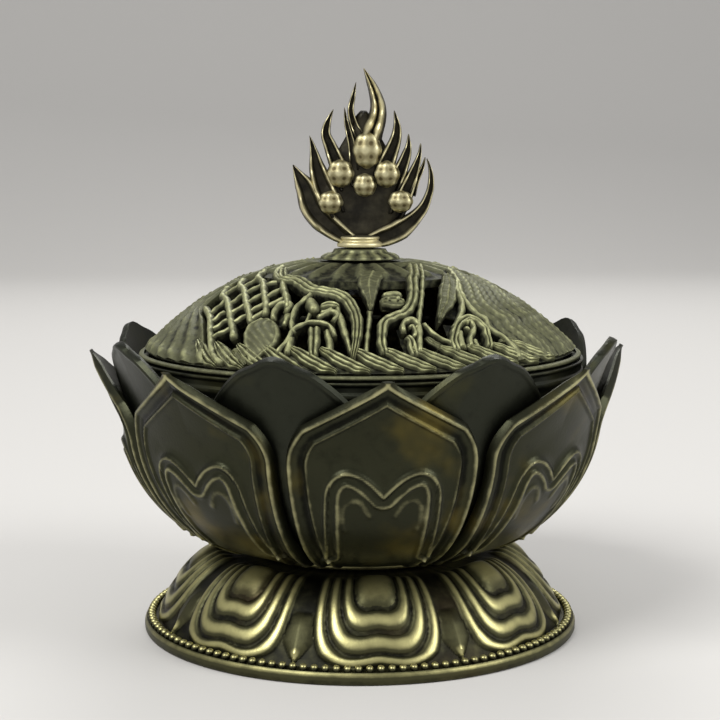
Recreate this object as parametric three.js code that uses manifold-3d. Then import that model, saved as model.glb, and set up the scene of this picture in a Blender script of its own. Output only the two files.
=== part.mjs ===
// Lotus incense cone holder: a footed bowl of eight outer and eight inner petals round a cup,
// a loose pierced lid with a flaming-jewel finial, and a lift-out ash dish that seats the cone.
// Millimetres, +Z up. The origin is on the ground, under the middle of the foot.
// Angles go round +Z from the front (-Y) towards +X.

import * as THREE from 'three';
import { mergeVertices } from 'three/addons/utils/BufferGeometryUtils.js';
import Module from 'manifold-3d';

const wasm = await Module();
wasm.setup();

// Clearances
const seatGap = 0.3; // solder film or running gap between two pieces that seat on each other
const boreGap = 0.4; // round a screw, stud or stem in its hole
const skirtGap = 0.5; // lid skirt inside the cup's mouth

// Petals, shared by foot and bowl
const petalCount = 8;
const petalPitch = (2 * Math.PI) / petalCount;

// Foot casting
const footRadius = 38.2;
const footFlangeHeight = 2.0;
const footEdgeRound = 0.7;
const footStandWidth = 3.2; // flat ring that stands on the table
const footWall = 2.6;
const beadRingWidth = 1.5;
const beadRingRise = 1.3;
const beadRingChamfer = 0.3;
const beadRingInset = 0.5; // from the foot's edge to the bead ring
const footPetalInset = 2.7; // from the foot's edge to the lips of its petals
const footLipLean = degrees(-33); // off upright, inwards
const footLipReach = 6.2; // length of the steep lower stretch
const footCrownRadius = 21;
const footCrownHeight = 13.6;
const footCrownReach = 7.5; // length of the flat upper stretch
const footPetalRelief = 0.9;
const footBossRelief = 0.8;
const footPetalSpan = degrees(17.5); // half width of a raised petal
const footPetalShoulder = degrees(19.5); // where its side has fallen away
const footBossSpan = degrees(7.5);
// shares of the slope, from its lip to its crown: the rows of the casting's outside and hollow
const footRows = [0, 0.1, 0.22, 0.38, 0.5, 0.68, 0.86, 1];
const footHollowRows = [1, 0.68, 0.38, 0.1];
const footBossRows = [0.5, 0.68]; // where the boss stands up
const footReliefEnd = 0.1; // over which the relief fades in and out

// Neck collar between foot and bowl
const collarRadius = 20;
const collarThickness = 1.1;
const collarRound = 0.3;

// Bowl outline: the outer face of the outer petals, from bottom to belly to tips
const bowlBottomRadius = 19.5;
const bowlBottomReach = 12.7; // length of the flat start of the curve
const bellyRadius = 41.6;
const bellyHeight = 35.2;
const bellyLean = degrees(9.6); // off upright
const bellyReachDown = 8.4;
const bellyReachUp = 5.3;
const petalTipRadius = 47;
const petalTipHeight = 49.6;
const petalTipFlare = degrees(31); // off upright
const petalTipReach = 5;

// Outer petals
const outerPetalThickness = 1.6;
const outerPetalSpan = degrees(20.8); // half width below the belly
const outerShoulderSpan = degrees(17);
const outerShoulderDrop = 7.6; // from the tip down to the shoulder
const outerTipTaper = 1.15; // over 1 makes the tip slightly hollow-sided
const petalEdgeRoll = 0.5; // height of the rolled edge
const petalRollShare = 0.86; // share of the half width where the rolled edge starts
const petalTipWidth = 0.9;
const petalRollTop = 0.93; // share where the rolled edge is at its full height
const heartWidth = 1.5; // of the heart line on the petal's face, at its foot
const heartRise = 0.5;
const heartSink = 0.9;

// Inner petals
const innerPetalThickness = 1.3;
const innerPetalSpan = degrees(19);
const innerShoulderDrop = 10.5;
const innerTipTaper = 0.6; // under 1 makes the tip round-shouldered

// Root tabs that hold both rows of petals under the cup
const tabInnerRadius = 9;

// Cup
const cupWall = 2;
const cupRimMargin = 1.3; // between the rim and the curve that the cup's side would go on along
const cupRimWall = 1.8;
const cupRimHeight = 47.9;
const cupRimBand = 2.6;
const cupBossRadius = 8.4;

// Centre screw, washer and nut that clamp the stack
const screwRadius = 2.5;
const screwHeadRadius = 4.6;
const screwHeadHeight = 2;
const screwHeadEdge = 1; // upright part of the head
const screwHeadFlat = 3.2; // radius of its flat top
const screwSlotWidth = 1.2;
const screwSlotDepth = 1;
const footWasherRadius = 6;
const washerThickness = 0.8;
const footNutAcross = 8;
const footNutHeight = 3.6;
const screwTail = 0.9; // thread showing past the nut

// Ash dish and cone seat
const dishWall = 1.4;
const dishFootInner = 13;
const dishFootOuter = 15.4;
const dishFloorClearance = 1.5; // above the screw head
const dishFloorRadius = 16;
const dishRimRadius = 27.5;
const dishDepth = 8.6;
const dishStraight = 3.6; // upright part of the side, down from the lip
const dishLipRadius = 29;
const seatStemRadius = 2;
const seatStemTail = 0.5;
const coneSeatRadius = 8.5;
const coneSeatHeight = 2.8;
const coneSeatEdge = 1.1; // upright part of its edge
const coneRecessRadius = 6.6; // takes a 12 mm cone
const coneRecessDepth = 1.2;
const coneRecessLip = 0.8;

// Lid
const lidTurn = degrees(-4.5); // how the loose lid sits round on the bowl
const lidRimInset = 0.4; // from the cup's rim to the lid's
const lidRimThickness = 0.8;
const lidRimLedge = 0.4; // from the lid's rim to the foot of the dome
const lidDomeEdge = 0.2; // upright foot of the dome
const lidDomeRise = 15.3;
const lidDomePower = 2.4; // 2 is a parabola, more is fuller at the shoulder
const lidCrownWall = 1.7;
const lidSkirtWall = 1.2;
const lidSkirtDepth = 3.3;
const lidFocusDepth = 31; // below the rim: where the sides of the openings would meet
const barSink = 1.4; // how deep the openwork's bars reach into the dome
const ribbonTop = 0.55; // share of a ribbon's width, flat on its top
const knotBarWidth = 1.15; // of the long bars of the knot lattice
const knotBarLift = 0.8;
const crossBarWidth = 0.8;
const crossBarLift = 0.3;
const borderLeafCount = 48;

// Finial: cap, plaque, stud, washer and nut
const capRadius = 7;
const capThickness = 1.8;
const capEdge = 0.9; // height of the steep edge
const capDraft = 0.4; // how far the edge leans in
const capTopRadius = 4.55;
const finialTopHeight = 97.5;
const finialHalfWidth = 12.8;
const plaqueThickness = 4.4;
const finialNeckRadius = 4;
const finialNeckTopRadius = 3.2;
const finialNeckHeight = 2;
const plaqueSink = 0.6; // of the plaque into the neck
const jewelRadius = 2.8; // of the top jewel
const jewelOffset = 1.76; // of a jewel's middle from the plaque's
const studRadius = 2;
const finialWasherRadius = 5;
const finialNutAcross = 7;
const finialNutHeight = 3;
const studTail = 0.6;

// Roundness of turned pieces
const bigSegments = 36;
const smallSegments = 28;
const jewelSegments = 10;
const jewelRings = 7;

// Heights up the clamped stack
const collarBottom = footCrownHeight + seatGap;
const collarTop = collarBottom + collarThickness;
const outerTabBottom = collarTop + seatGap;
const innerPetalInset = outerPetalThickness + seatGap;
const cupInset = innerPetalInset + innerPetalThickness + seatGap;
const cupBottom = outerTabBottom + cupInset;
const cupFloor = cupBottom + cupWall;
const screwHeadBottom = cupFloor + seatGap;
const screwHeadTop = screwHeadBottom + screwHeadHeight;
const footCrownUnder = footCrownHeight - footWall;
const footWasherTop = footCrownUnder - seatGap;
const footNutTop = footWasherTop - washerThickness - seatGap;
const footNutBottom = footNutTop - footNutHeight;
const screwBoreRadius = screwRadius + boreGap;

// The rim of the cup and, on it, the rim and dome of the lid
const cupRimRadius = bowlRadiusAt(cupRimHeight - cupRimBand, cupInset) - cupRimMargin;
const lidRimRadius = cupRimRadius - lidRimInset;
const lidDomeRadius = lidRimRadius - lidRimLedge;

// Heights of the lid and what is fixed to it
const lidSeat = cupRimHeight + seatGap;
const lidSpring = lidSeat + lidRimThickness;
const lidCrown = lidSpring + lidDomeRise;
const lidCrownUnder = lidCrown - lidCrownWall;
const skirtRadius = cupRimRadius - cupRimWall - skirtGap;
const skirtInner = skirtRadius - lidSkirtWall;
const studBoreRadius = studRadius + boreGap;
const capBottom = lidCrown + seatGap;
const finialBottom = capBottom + capThickness + seatGap;
const finialWasherTop = lidCrownUnder - seatGap;
const finialNutTop = finialWasherTop - washerThickness - seatGap;
const finialNutBottom = finialNutTop - finialNutHeight;

// Finishes
const agedBrass = { color: 0x3f4036, roughness: 0.38, metalness: 0.9 };
const darkBrass = { color: 0x33352d, roughness: 0.35, metalness: 0.9 };
const lidBrass = { color: 0x84866a, roughness: 0.5, metalness: 0.85 };
const brightBrass = { color: 0xb09a5c, roughness: 0.35, metalness: 0.95 };
const steel = { color: 0x8d8f8c, roughness: 0.4, metalness: 1 };

function degrees(angle) {
  return (angle * Math.PI) / 180;
}

function polar(angle, radius, height) {
  return [radius * Math.sin(angle), -radius * Math.cos(angle), height];
}

// A closed solid from points and triangles; triangles that shrink to a line are dropped
function solidOf(geometry) {
  const bare = geometry.clone();
  bare.deleteAttribute('normal');
  bare.deleteAttribute('uv');
  const merged = mergeVertices(bare, 1e-4);
  const corners = merged.index.array;
  const kept = [];
  for (let i = 0; i < corners.length; i += 3) {
    const [a, b, c] = [corners[i], corners[i + 1], corners[i + 2]];
    if (a !== b && b !== c && c !== a) kept.push(a, b, c);
  }
  const vertProperties = new Float32Array(merged.attributes.position.array);
  const triVerts = new Uint32Array(kept);
  return new wasm.Manifold(new wasm.Mesh({ numProp: 3, vertProperties, triVerts }));
}

function geometryOf(solid) {
  const { vertProperties, triVerts } = solid.getMesh();
  const geometry = new THREE.BufferGeometry();
  geometry.setAttribute('position', new THREE.BufferAttribute(vertProperties, 3));
  geometry.setIndex(new THREE.BufferAttribute(triVerts, 1));
  geometry.computeVertexNormals();
  return geometry;
}

// Turned round +Z from [radius, height] points: a loop, or a line from the axis to the axis
function turned(profile, segments) {
  const points = profile.map(([radius, height]) => new THREE.Vector2(radius, height));
  const onAxis = profile[0][0] === 0;
  if (!onAxis) points.push(points[0].clone());
  return new THREE.LatheGeometry(points, segments).rotateX(Math.PI / 2);
}

// A grid of points laid on an outer face and an inner face, with walls round its four edges
function thickSheet(rows, columns, outer, inner) {
  const across = columns + 1;
  const layer = (rows + 1) * across;
  const points = [];
  for (const face of [outer, inner]) {
    for (let row = 0; row <= rows; row += 1) {
      for (let column = 0; column <= columns; column += 1) points.push(...face(row, column));
    }
  }
  const index = [];
  const quad = (a, b, c, d) => index.push(a, b, c, a, c, d);
  const at = (row, column) => row * across + column;
  for (let row = 0; row < rows; row += 1) {
    for (let column = 0; column < columns; column += 1) {
      const [a, b] = [at(row, column), at(row, column + 1)];
      const [c, d] = [at(row + 1, column + 1), at(row + 1, column)];
      quad(a, b, c, d);
      quad(layer + d, layer + c, layer + b, layer + a);
    }
    const [left, leftUp] = [at(row, 0), at(row + 1, 0)];
    const [right, rightUp] = [at(row, columns), at(row + 1, columns)];
    quad(layer + left, left, leftUp, layer + leftUp);
    quad(right, layer + right, layer + rightUp, rightUp);
  }
  for (let column = 0; column < columns; column += 1) {
    const [low, lowNext] = [at(0, column), at(0, column + 1)];
    const [high, highNext] = [at(rows, column), at(rows, column + 1)];
    quad(layer + low, layer + lowNext, lowNext, low);
    quad(high, highNext, layer + highNext, layer + high);
  }
  const geometry = new THREE.BufferGeometry();
  geometry.setAttribute('position', new THREE.BufferAttribute(new Float32Array(points), 3));
  geometry.setIndex(index);
  return geometry;
}

function bezierPoint(start, startHandle, endHandle, end, t) {
  const s = 1 - t;
  const points = [start, startHandle, endHandle, end];
  const weights = [s ** 3, 3 * s * s * t, 3 * s * t * t, t ** 3];
  const mix = (axis) => points.reduce((sum, point, i) => sum + weights[i] * point[axis], 0);
  return [mix(0), mix(1)];
}

// A point so far from another along a line that leans outwards from upright
function leaning([radius, height], lean, reach) {
  return [radius + reach * Math.sin(lean), height + reach * Math.cos(lean)];
}

// The bowl's outline as [radius, height]: stations 0 to 1 are bottom to belly, 1 to 2 belly to tips
function bowlOutline(station) {
  const belly = [bellyRadius, bellyHeight];
  if (station <= 1) {
    const bottom = [bowlBottomRadius, outerTabBottom];
    const alongBottom = [bowlBottomRadius + bowlBottomReach, outerTabBottom];
    return bezierPoint(bottom, alongBottom, leaning(belly, bellyLean, -bellyReachDown), belly, station);
  }
  const tip = [petalTipRadius, petalTipHeight];
  const aboveBelly = leaning(belly, bellyLean, bellyReachUp);
  return bezierPoint(belly, aboveBelly, leaning(tip, petalTipFlare, -petalTipReach), tip, station - 1);
}

// A point of a curve moved to the left of the curve's direction, square to it
function movedLeft(curve, place, last, distance) {
  const step = 1e-3;
  const low = curve(Math.max(0, place - step));
  const high = curve(Math.min(last, place + step));
  const along = Math.hypot(high[0] - low[0], high[1] - low[1]);
  const [radius, height] = curve(place);
  const share = distance / along;
  return [radius - share * (high[1] - low[1]), height + share * (high[0] - low[0])];
}

// The bowl's outline moved inwards
function bowlInset(station, inset) {
  return movedLeft(bowlOutline, station, 2, inset);
}

// Station where the inset outline reaches a height, found by halving
function bowlStationAt(height, inset) {
  let [low, high] = [0, 2];
  for (let i = 0; i < 30; i += 1) {
    const middle = (low + high) / 2;
    if (bowlInset(middle, inset)[1] < height) low = middle;
    else high = middle;
  }
  return low;
}

function bowlRadiusAt(height, inset) {
  return bowlInset(bowlStationAt(height, inset), inset)[0];
}

// A tapering bar along a path on a surface, with a sharp ridge or a flat top that keeps a share
// of its width. place turns a path point and a height above the surface into a point, and the
// widths are spread evenly along the path.
function barSolid(path, place, { widths, lift, sink, top }) {
  const last = path.length - 1;
  const crest = top > 0 ? [[-top, lift], [top, lift]] : [[0, lift]];
  const corners = [[-1, -sink], ...crest, [1, -sink]];
  const count = corners.length;
  const points = [];
  path.forEach((spot, i) => {
    const middle = place(spot, 0);
    const up = place(spot, 1).sub(middle);
    const along = place(path[Math.min(i + 1, last)], 0).sub(place(path[Math.max(i - 1, 0)], 0));
    const side = along.cross(up).normalize();
    const reach = (i / last) * (widths.length - 1);
    const step = Math.min(Math.floor(reach), widths.length - 2);
    const half = THREE.MathUtils.lerp(widths[step], widths[step + 1], reach - step) / 2;
    for (const [across, height] of corners) {
      points.push(...middle.clone().addScaledVector(side, across * half).addScaledVector(up, height));
    }
  });
  const index = [];
  for (let i = 0; i < last; i += 1) {
    for (let corner = 0; corner < count; corner += 1) {
      const beside = (corner + 1) % count;
      const [a, b] = [count * i + corner, count * i + beside];
      index.push(a, b, b + count, a, b + count, a + count);
    }
  }
  const end = count * last;
  for (let corner = 2; corner < count; corner += 1) {
    index.push(0, corner, corner - 1, end, end + corner - 1, end + corner);
  }
  const geometry = new THREE.BufferGeometry();
  geometry.setAttribute('position', new THREE.BufferAttribute(new Float32Array(points), 3));
  geometry.setIndex(index);
  return solidOf(geometry);
}

// Foot

function footSlope(share) {
  const lip = [footRadius - footPetalInset, footFlangeHeight];
  const crown = [footCrownRadius, footCrownHeight];
  const aboveLip = leaning(lip, footLipLean, footLipReach);
  return bezierPoint(lip, aboveLip, [crown[0] + footCrownReach, crown[1]], crown, share);
}

// Height of the raised petal and of the boss in its middle
function footRelief(angle, share) {
  const away = Math.abs(angle);
  const fall = (footPetalShoulder - away) / (footPetalShoulder - footPetalSpan);
  const side = THREE.MathUtils.clamp(fall, 0, 1);
  const ends = Math.min(1, share / footReliefEnd, (1 - share) / footReliefEnd);
  const middle = THREE.MathUtils.clamp(1 - away / footBossSpan, 0, 1);
  const boss = footBossRows.includes(share) ? middle : 0;
  return ends * (footPetalRelief * side + footBossRelief * boss);
}

function footGeometry() {
  const beadOuter = footRadius - beadRingInset;
  const beadInner = beadOuter - beadRingWidth;
  const standInner = footRadius - footStandWidth;
  const beadTop = footFlangeHeight + beadRingRise;
  const slopeFoot = footSlope(0);
  const loop = [
    { at: [footRadius, footEdgeRound] },
    { at: [footRadius, footFlangeHeight - footEdgeRound] },
    { at: [beadOuter, footFlangeHeight] },
    { at: [beadOuter - beadRingChamfer, beadTop] },
    { at: [beadInner + beadRingChamfer, beadTop] },
    { at: [(beadInner + slopeFoot[0]) / 2, footFlangeHeight] },
    ...footRows.map((share) => ({ share })),
    { at: [screwBoreRadius, footCrownHeight] },
    { at: [screwBoreRadius, footCrownUnder] },
    ...footHollowRows.map((share) => ({ at: movedLeft(footSlope, share, 1, footWall) })),
    { at: [standInner, 0] },
    { at: [footRadius - footEdgeRound, 0] },
  ];
  const [shoulder, span, boss] = [footPetalShoulder, footPetalSpan, footBossSpan];
  const spread = [-petalPitch / 2, -shoulder, -span, -boss, 0, boss, span, shoulder];
  const columns = [];
  for (let petal = 0; petal < petalCount; petal += 1) {
    for (const offset of spread) columns.push({ offset, angle: petal * petalPitch + offset });
  }
  const points = [];
  for (const { at, share } of loop) {
    for (const { offset, angle } of columns) {
      const place = at ?? movedLeft(footSlope, share, 1, -footRelief(offset, share));
      points.push(...polar(angle, ...place));
    }
  }
  const index = [];
  const across = columns.length;
  for (let row = 0; row < loop.length; row += 1) {
    const next = (row + 1) % loop.length;
    for (let column = 0; column < across; column += 1) {
      const beside = (column + 1) % across;
      const [a, b] = [row * across + column, row * across + beside];
      const [c, d] = [next * across + beside, next * across + column];
      index.push(a, b, c, a, c, d);
    }
  }
  const geometry = new THREE.BufferGeometry();
  geometry.setAttribute('position', new THREE.BufferAttribute(new Float32Array(points), 3));
  geometry.setIndex(index);
  return geometry;
}

function collarGeometry() {
  return turned(
    [
      [screwBoreRadius, collarBottom],
      [collarRadius - collarRound, collarBottom],
      [collarRadius, collarBottom + collarRound],
      [collarRadius, collarTop - collarRound],
      [collarRadius - collarRound, collarTop],
      [screwBoreRadius, collarTop],
    ],
    bigSegments,
  );
}

// Petals

// Stations up the bowl that petals and cup share, so that their flats nest
const belowBelly = [0, 0.28, 0.52, 0.76, 1];
const outerAboveBelly = [1.28, 1.45, 1.62, 1.8, 2];
const innerAboveBelly = [1.35, 1.6, 1.82, 2];

function outerPetalHalf(height) {
  const shoulder = petalTipHeight - outerShoulderDrop;
  if (height >= shoulder) {
    const left = Math.max(0, (petalTipHeight - height) / outerShoulderDrop);
    return outerShoulderSpan * left ** outerTipTaper;
  }
  if (height <= bellyHeight) return outerPetalSpan;
  const up = (height - bellyHeight) / (shoulder - bellyHeight);
  return outerShoulderSpan + (outerPetalSpan - outerShoulderSpan) * (1 - up * up);
}

function innerPetalHalf(height) {
  const top = bowlInset(2, innerPetalInset)[1];
  const shoulder = top - innerShoulderDrop;
  if (height <= shoulder) return innerPetalSpan;
  const left = Math.max(0, (top - height) / innerShoulderDrop);
  return innerPetalSpan * left ** innerTipTaper;
}

function petalGeometry({ inset, thickness, halfAngle, roll, stations, spread }) {
  const place = (row, depth) => {
    if (row === 0) return [tabInnerRadius, bowlInset(0, depth)[1]];
    return bowlInset(stations[row - 1], depth);
  };
  const face = (depth, lift) => (row, column) => {
    const [faceRadius] = place(row, inset);
    const height = place(row, inset)[1];
    const half = Math.max(halfAngle(height), petalTipWidth / 2 / faceRadius);
    const share = spread[column];
    const climb = (Math.abs(share) - petalRollShare) / (petalRollTop - petalRollShare);
    const raised = row > 1 ? lift * THREE.MathUtils.clamp(climb, 0, 1) : 0;
    const [radius, level] = place(row, depth - raised);
    return polar(share * half, radius, level);
  };
  const columns = spread.length - 1;
  return thickSheet(stations.length, columns, face(inset, roll), face(inset + thickness, 0));
}

// Right half of the heart line on an outer petal, as [distance from the petal's middle, height]
const heartHalf = [[8.2, 20.5], [8.8, 26], [8.8, 31.4], [7.4, 34], [5.2, 34.5], [2.4, 33.1], [0, 30.7]];

function onOuterPetal([across, height], lift) {
  const station = bowlStationAt(height, 0);
  const [radius, level] = bowlInset(station, -lift);
  return new THREE.Vector3(...polar(across / bowlOutline(station)[0], radius, level));
}

function outerPetalGeometry() {
  const petal = petalGeometry({
    inset: 0,
    thickness: outerPetalThickness,
    halfAngle: outerPetalHalf,
    roll: petalEdgeRoll,
    stations: [...belowBelly, ...outerAboveBelly],
    spread: [-1, -petalRollTop, -petalRollShare, -0.45, 0, 0.45, petalRollShare, petalRollTop, 1],
  });
  const leftHalf = heartHalf.map(([across, height]) => [-across, height]).reverse().slice(1);
  const heart = { widths: [heartWidth, heartWidth], lift: heartRise, sink: heartSink, top: 0 };
  const line = barSolid([...heartHalf, ...leftHalf], onOuterPetal, heart);
  return geometryOf(solidOf(petal).add(line));
}

function innerPetalGeometry() {
  return petalGeometry({
    inset: innerPetalInset,
    thickness: innerPetalThickness,
    halfAngle: innerPetalHalf,
    roll: 0,
    stations: [...belowBelly, ...innerAboveBelly],
    spread: [-1, -0.5, 0, 0.5, 1],
  });
}

// Cup

function cupGeometry() {
  const outside = belowBelly.map((station) => bowlInset(station, cupInset));
  const inside = belowBelly.map((station) => bowlInset(station, cupInset + cupWall)).reverse();
  const rimInner = cupRimRadius - cupRimWall;
  return turned(
    [
      [screwBoreRadius, outerTabBottom],
      [cupBossRadius, outerTabBottom],
      [cupBossRadius, cupBottom],
      ...outside,
      [cupRimRadius, cupRimHeight - cupRimBand],
      [cupRimRadius, cupRimHeight],
      [rimInner, cupRimHeight],
      [rimInner, cupRimHeight - cupRimBand],
      ...inside,
      [screwBoreRadius, cupFloor],
    ],
    bigSegments,
  );
}

// Fasteners

function washerGeometry(radius, bore, top) {
  return turned(
    [
      [bore, top - washerThickness],
      [radius, top - washerThickness],
      [radius, top],
      [bore, top],
    ],
    smallSegments,
  );
}

function nutGeometry(across, bore, bottom, height) {
  const corner = across / Math.sqrt(3);
  const prism = new THREE.CylinderGeometry(corner, corner, height, 6)
    .rotateX(Math.PI / 2)
    .translate(0, 0, bottom + height / 2);
  const hole = new THREE.CylinderGeometry(bore, bore, 2 * height, smallSegments)
    .rotateX(Math.PI / 2)
    .translate(0, 0, bottom + height / 2);
  return geometryOf(solidOf(prism).subtract(solidOf(hole)));
}

function centreScrewGeometry() {
  const body = turned(
    [
      [0, footNutBottom - screwTail],
      [screwRadius, footNutBottom - screwTail],
      [screwRadius, screwHeadBottom],
      [screwHeadRadius, screwHeadBottom],
      [screwHeadRadius, screwHeadBottom + screwHeadEdge],
      [screwHeadFlat, screwHeadTop],
      [0, screwHeadTop],
    ],
    smallSegments,
  );
  const slot = new THREE.BoxGeometry(3 * screwHeadRadius, screwSlotWidth, 2 * screwSlotDepth)
    .translate(0, 0, screwHeadTop);
  return geometryOf(solidOf(body).subtract(solidOf(slot)));
}

// Ash dish and cone seat

const dishUnder = screwHeadTop + dishFloorClearance;
const dishFloor = dishUnder + dishWall;
const dishRim = dishFloor + dishDepth;

function dishGeometry() {
  const bore = seatStemRadius + boreGap;
  return turned(
    [
      [bore, dishUnder],
      [dishFootInner, dishUnder],
      [dishFootInner, cupFloor + seatGap],
      [dishFootOuter, cupFloor + seatGap],
      [dishFootOuter, dishUnder],
      [dishFloorRadius + dishWall, dishUnder],
      [dishRimRadius, dishRim - dishStraight],
      [dishRimRadius, dishRim - dishWall],
      [dishLipRadius, dishRim - dishWall],
      [dishLipRadius, dishRim],
      [dishRimRadius - dishWall, dishRim],
      [dishRimRadius - dishWall, dishRim - dishStraight],
      [dishFloorRadius, dishFloor],
      [bore, dishFloor],
    ],
    bigSegments,
  );
}

function coneSeatGeometry() {
  const bottom = dishFloor + seatGap;
  const top = bottom + coneSeatHeight;
  return turned(
    [
      [0, dishUnder - seatStemTail],
      [seatStemRadius, dishUnder - seatStemTail],
      [seatStemRadius, bottom],
      [coneSeatRadius, bottom],
      [coneSeatRadius, bottom + coneSeatEdge],
      [coneRecessRadius + coneRecessLip, top],
      [coneRecessRadius, top],
      [coneRecessRadius, top - coneRecessDepth],
      [0, top - coneRecessDepth],
    ],
    smallSegments,
  );
}

// Lid

// A vent, by its place round from the vent's middle
const ventCorners = [[-1.4, 0.88], [1.6, 0.88], [1.4, 0.92], [-1.6, 0.92]];

// Openings in the front half, each a ring of [degrees round the lid, share of the dome's radius].
// The back half repeats them, and bars cross the large ones.
const lidOpenings = [
  // behind the knot lattice
  [[-41, 0.89], [-38, 0.8], [-35.5, 0.7], [-33.5, 0.6], [-36, 0.5], [-50, 0.42], [-66, 0.47],
    [-74, 0.57], [-66, 0.67], [-56, 0.77], [-47, 0.85]],
  // between the knot lattice and the leaf
  [[-38.6, 0.8], [-37, 0.79], [-35.2, 0.86], [-32.5, 0.92], [-38.6, 0.92]],
  // between the leaf and the thin band above the arch
  [[-33, 0.7], [-30.6, 0.61], [-24, 0.58], [-23.4, 0.7], [-21.6, 0.8], [-23, 0.84], [-28, 0.73]],
  // behind the columns, the arch and the flower above it
  [[-21.8, 0.58], [-16, 0.56], [-9, 0.61], [-4.6, 0.67], [-3.4, 0.78], [-3.4, 0.92], [-9, 0.925],
    [-14, 0.925], [-21, 0.92], [-20.6, 0.8], [-22, 0.7]],
  // either side of the middle post
  [[0.4, 0.62], [2.8, 0.6], [3.6, 0.66], [2.2, 0.78], [1.9, 0.92], [0.2, 0.92], [0.5, 0.78]],
  [[5.6, 0.66], [7.2, 0.61], [9, 0.7], [7, 0.74], [5.2, 0.82], [5, 0.92], [3.5, 0.92], [3.9, 0.8]],
  // between the mirrored ribbon and the eye scroll, and beyond the scroll
  [[8.6, 0.8], [10.2, 0.76], [12.6, 0.75], [12.2, 0.92], [8, 0.92]],
  [[20.4, 0.8], [22.4, 0.84], [25, 0.88], [27, 0.92], [17.6, 0.925], [19.2, 0.87]],
  // the large gap beside the side scroll and the two beyond it
  [[21, 0.76], [22.6, 0.7], [26.6, 0.62], [33, 0.56], [40, 0.55], [35, 0.64], [28.8, 0.71],
    [25.4, 0.77], [27.2, 0.81], [28, 0.87], [24, 0.83]],
  [[41, 0.69], [46, 0.68], [47.4, 0.75], [41.4, 0.77]],
  [[42, 0.84], [45.4, 0.8], [49.4, 0.83], [48, 0.91], [43, 0.91]],
  // above the boss
  [[10, 0.5], [18.6, 0.48], [17.4, 0.57], [11, 0.56]],
  // vents along the foot of the scales
  ...[53, 60, 67, 74].map((middle) => ventCorners.map(([angle, share]) => [middle + angle, share])),
];

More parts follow.
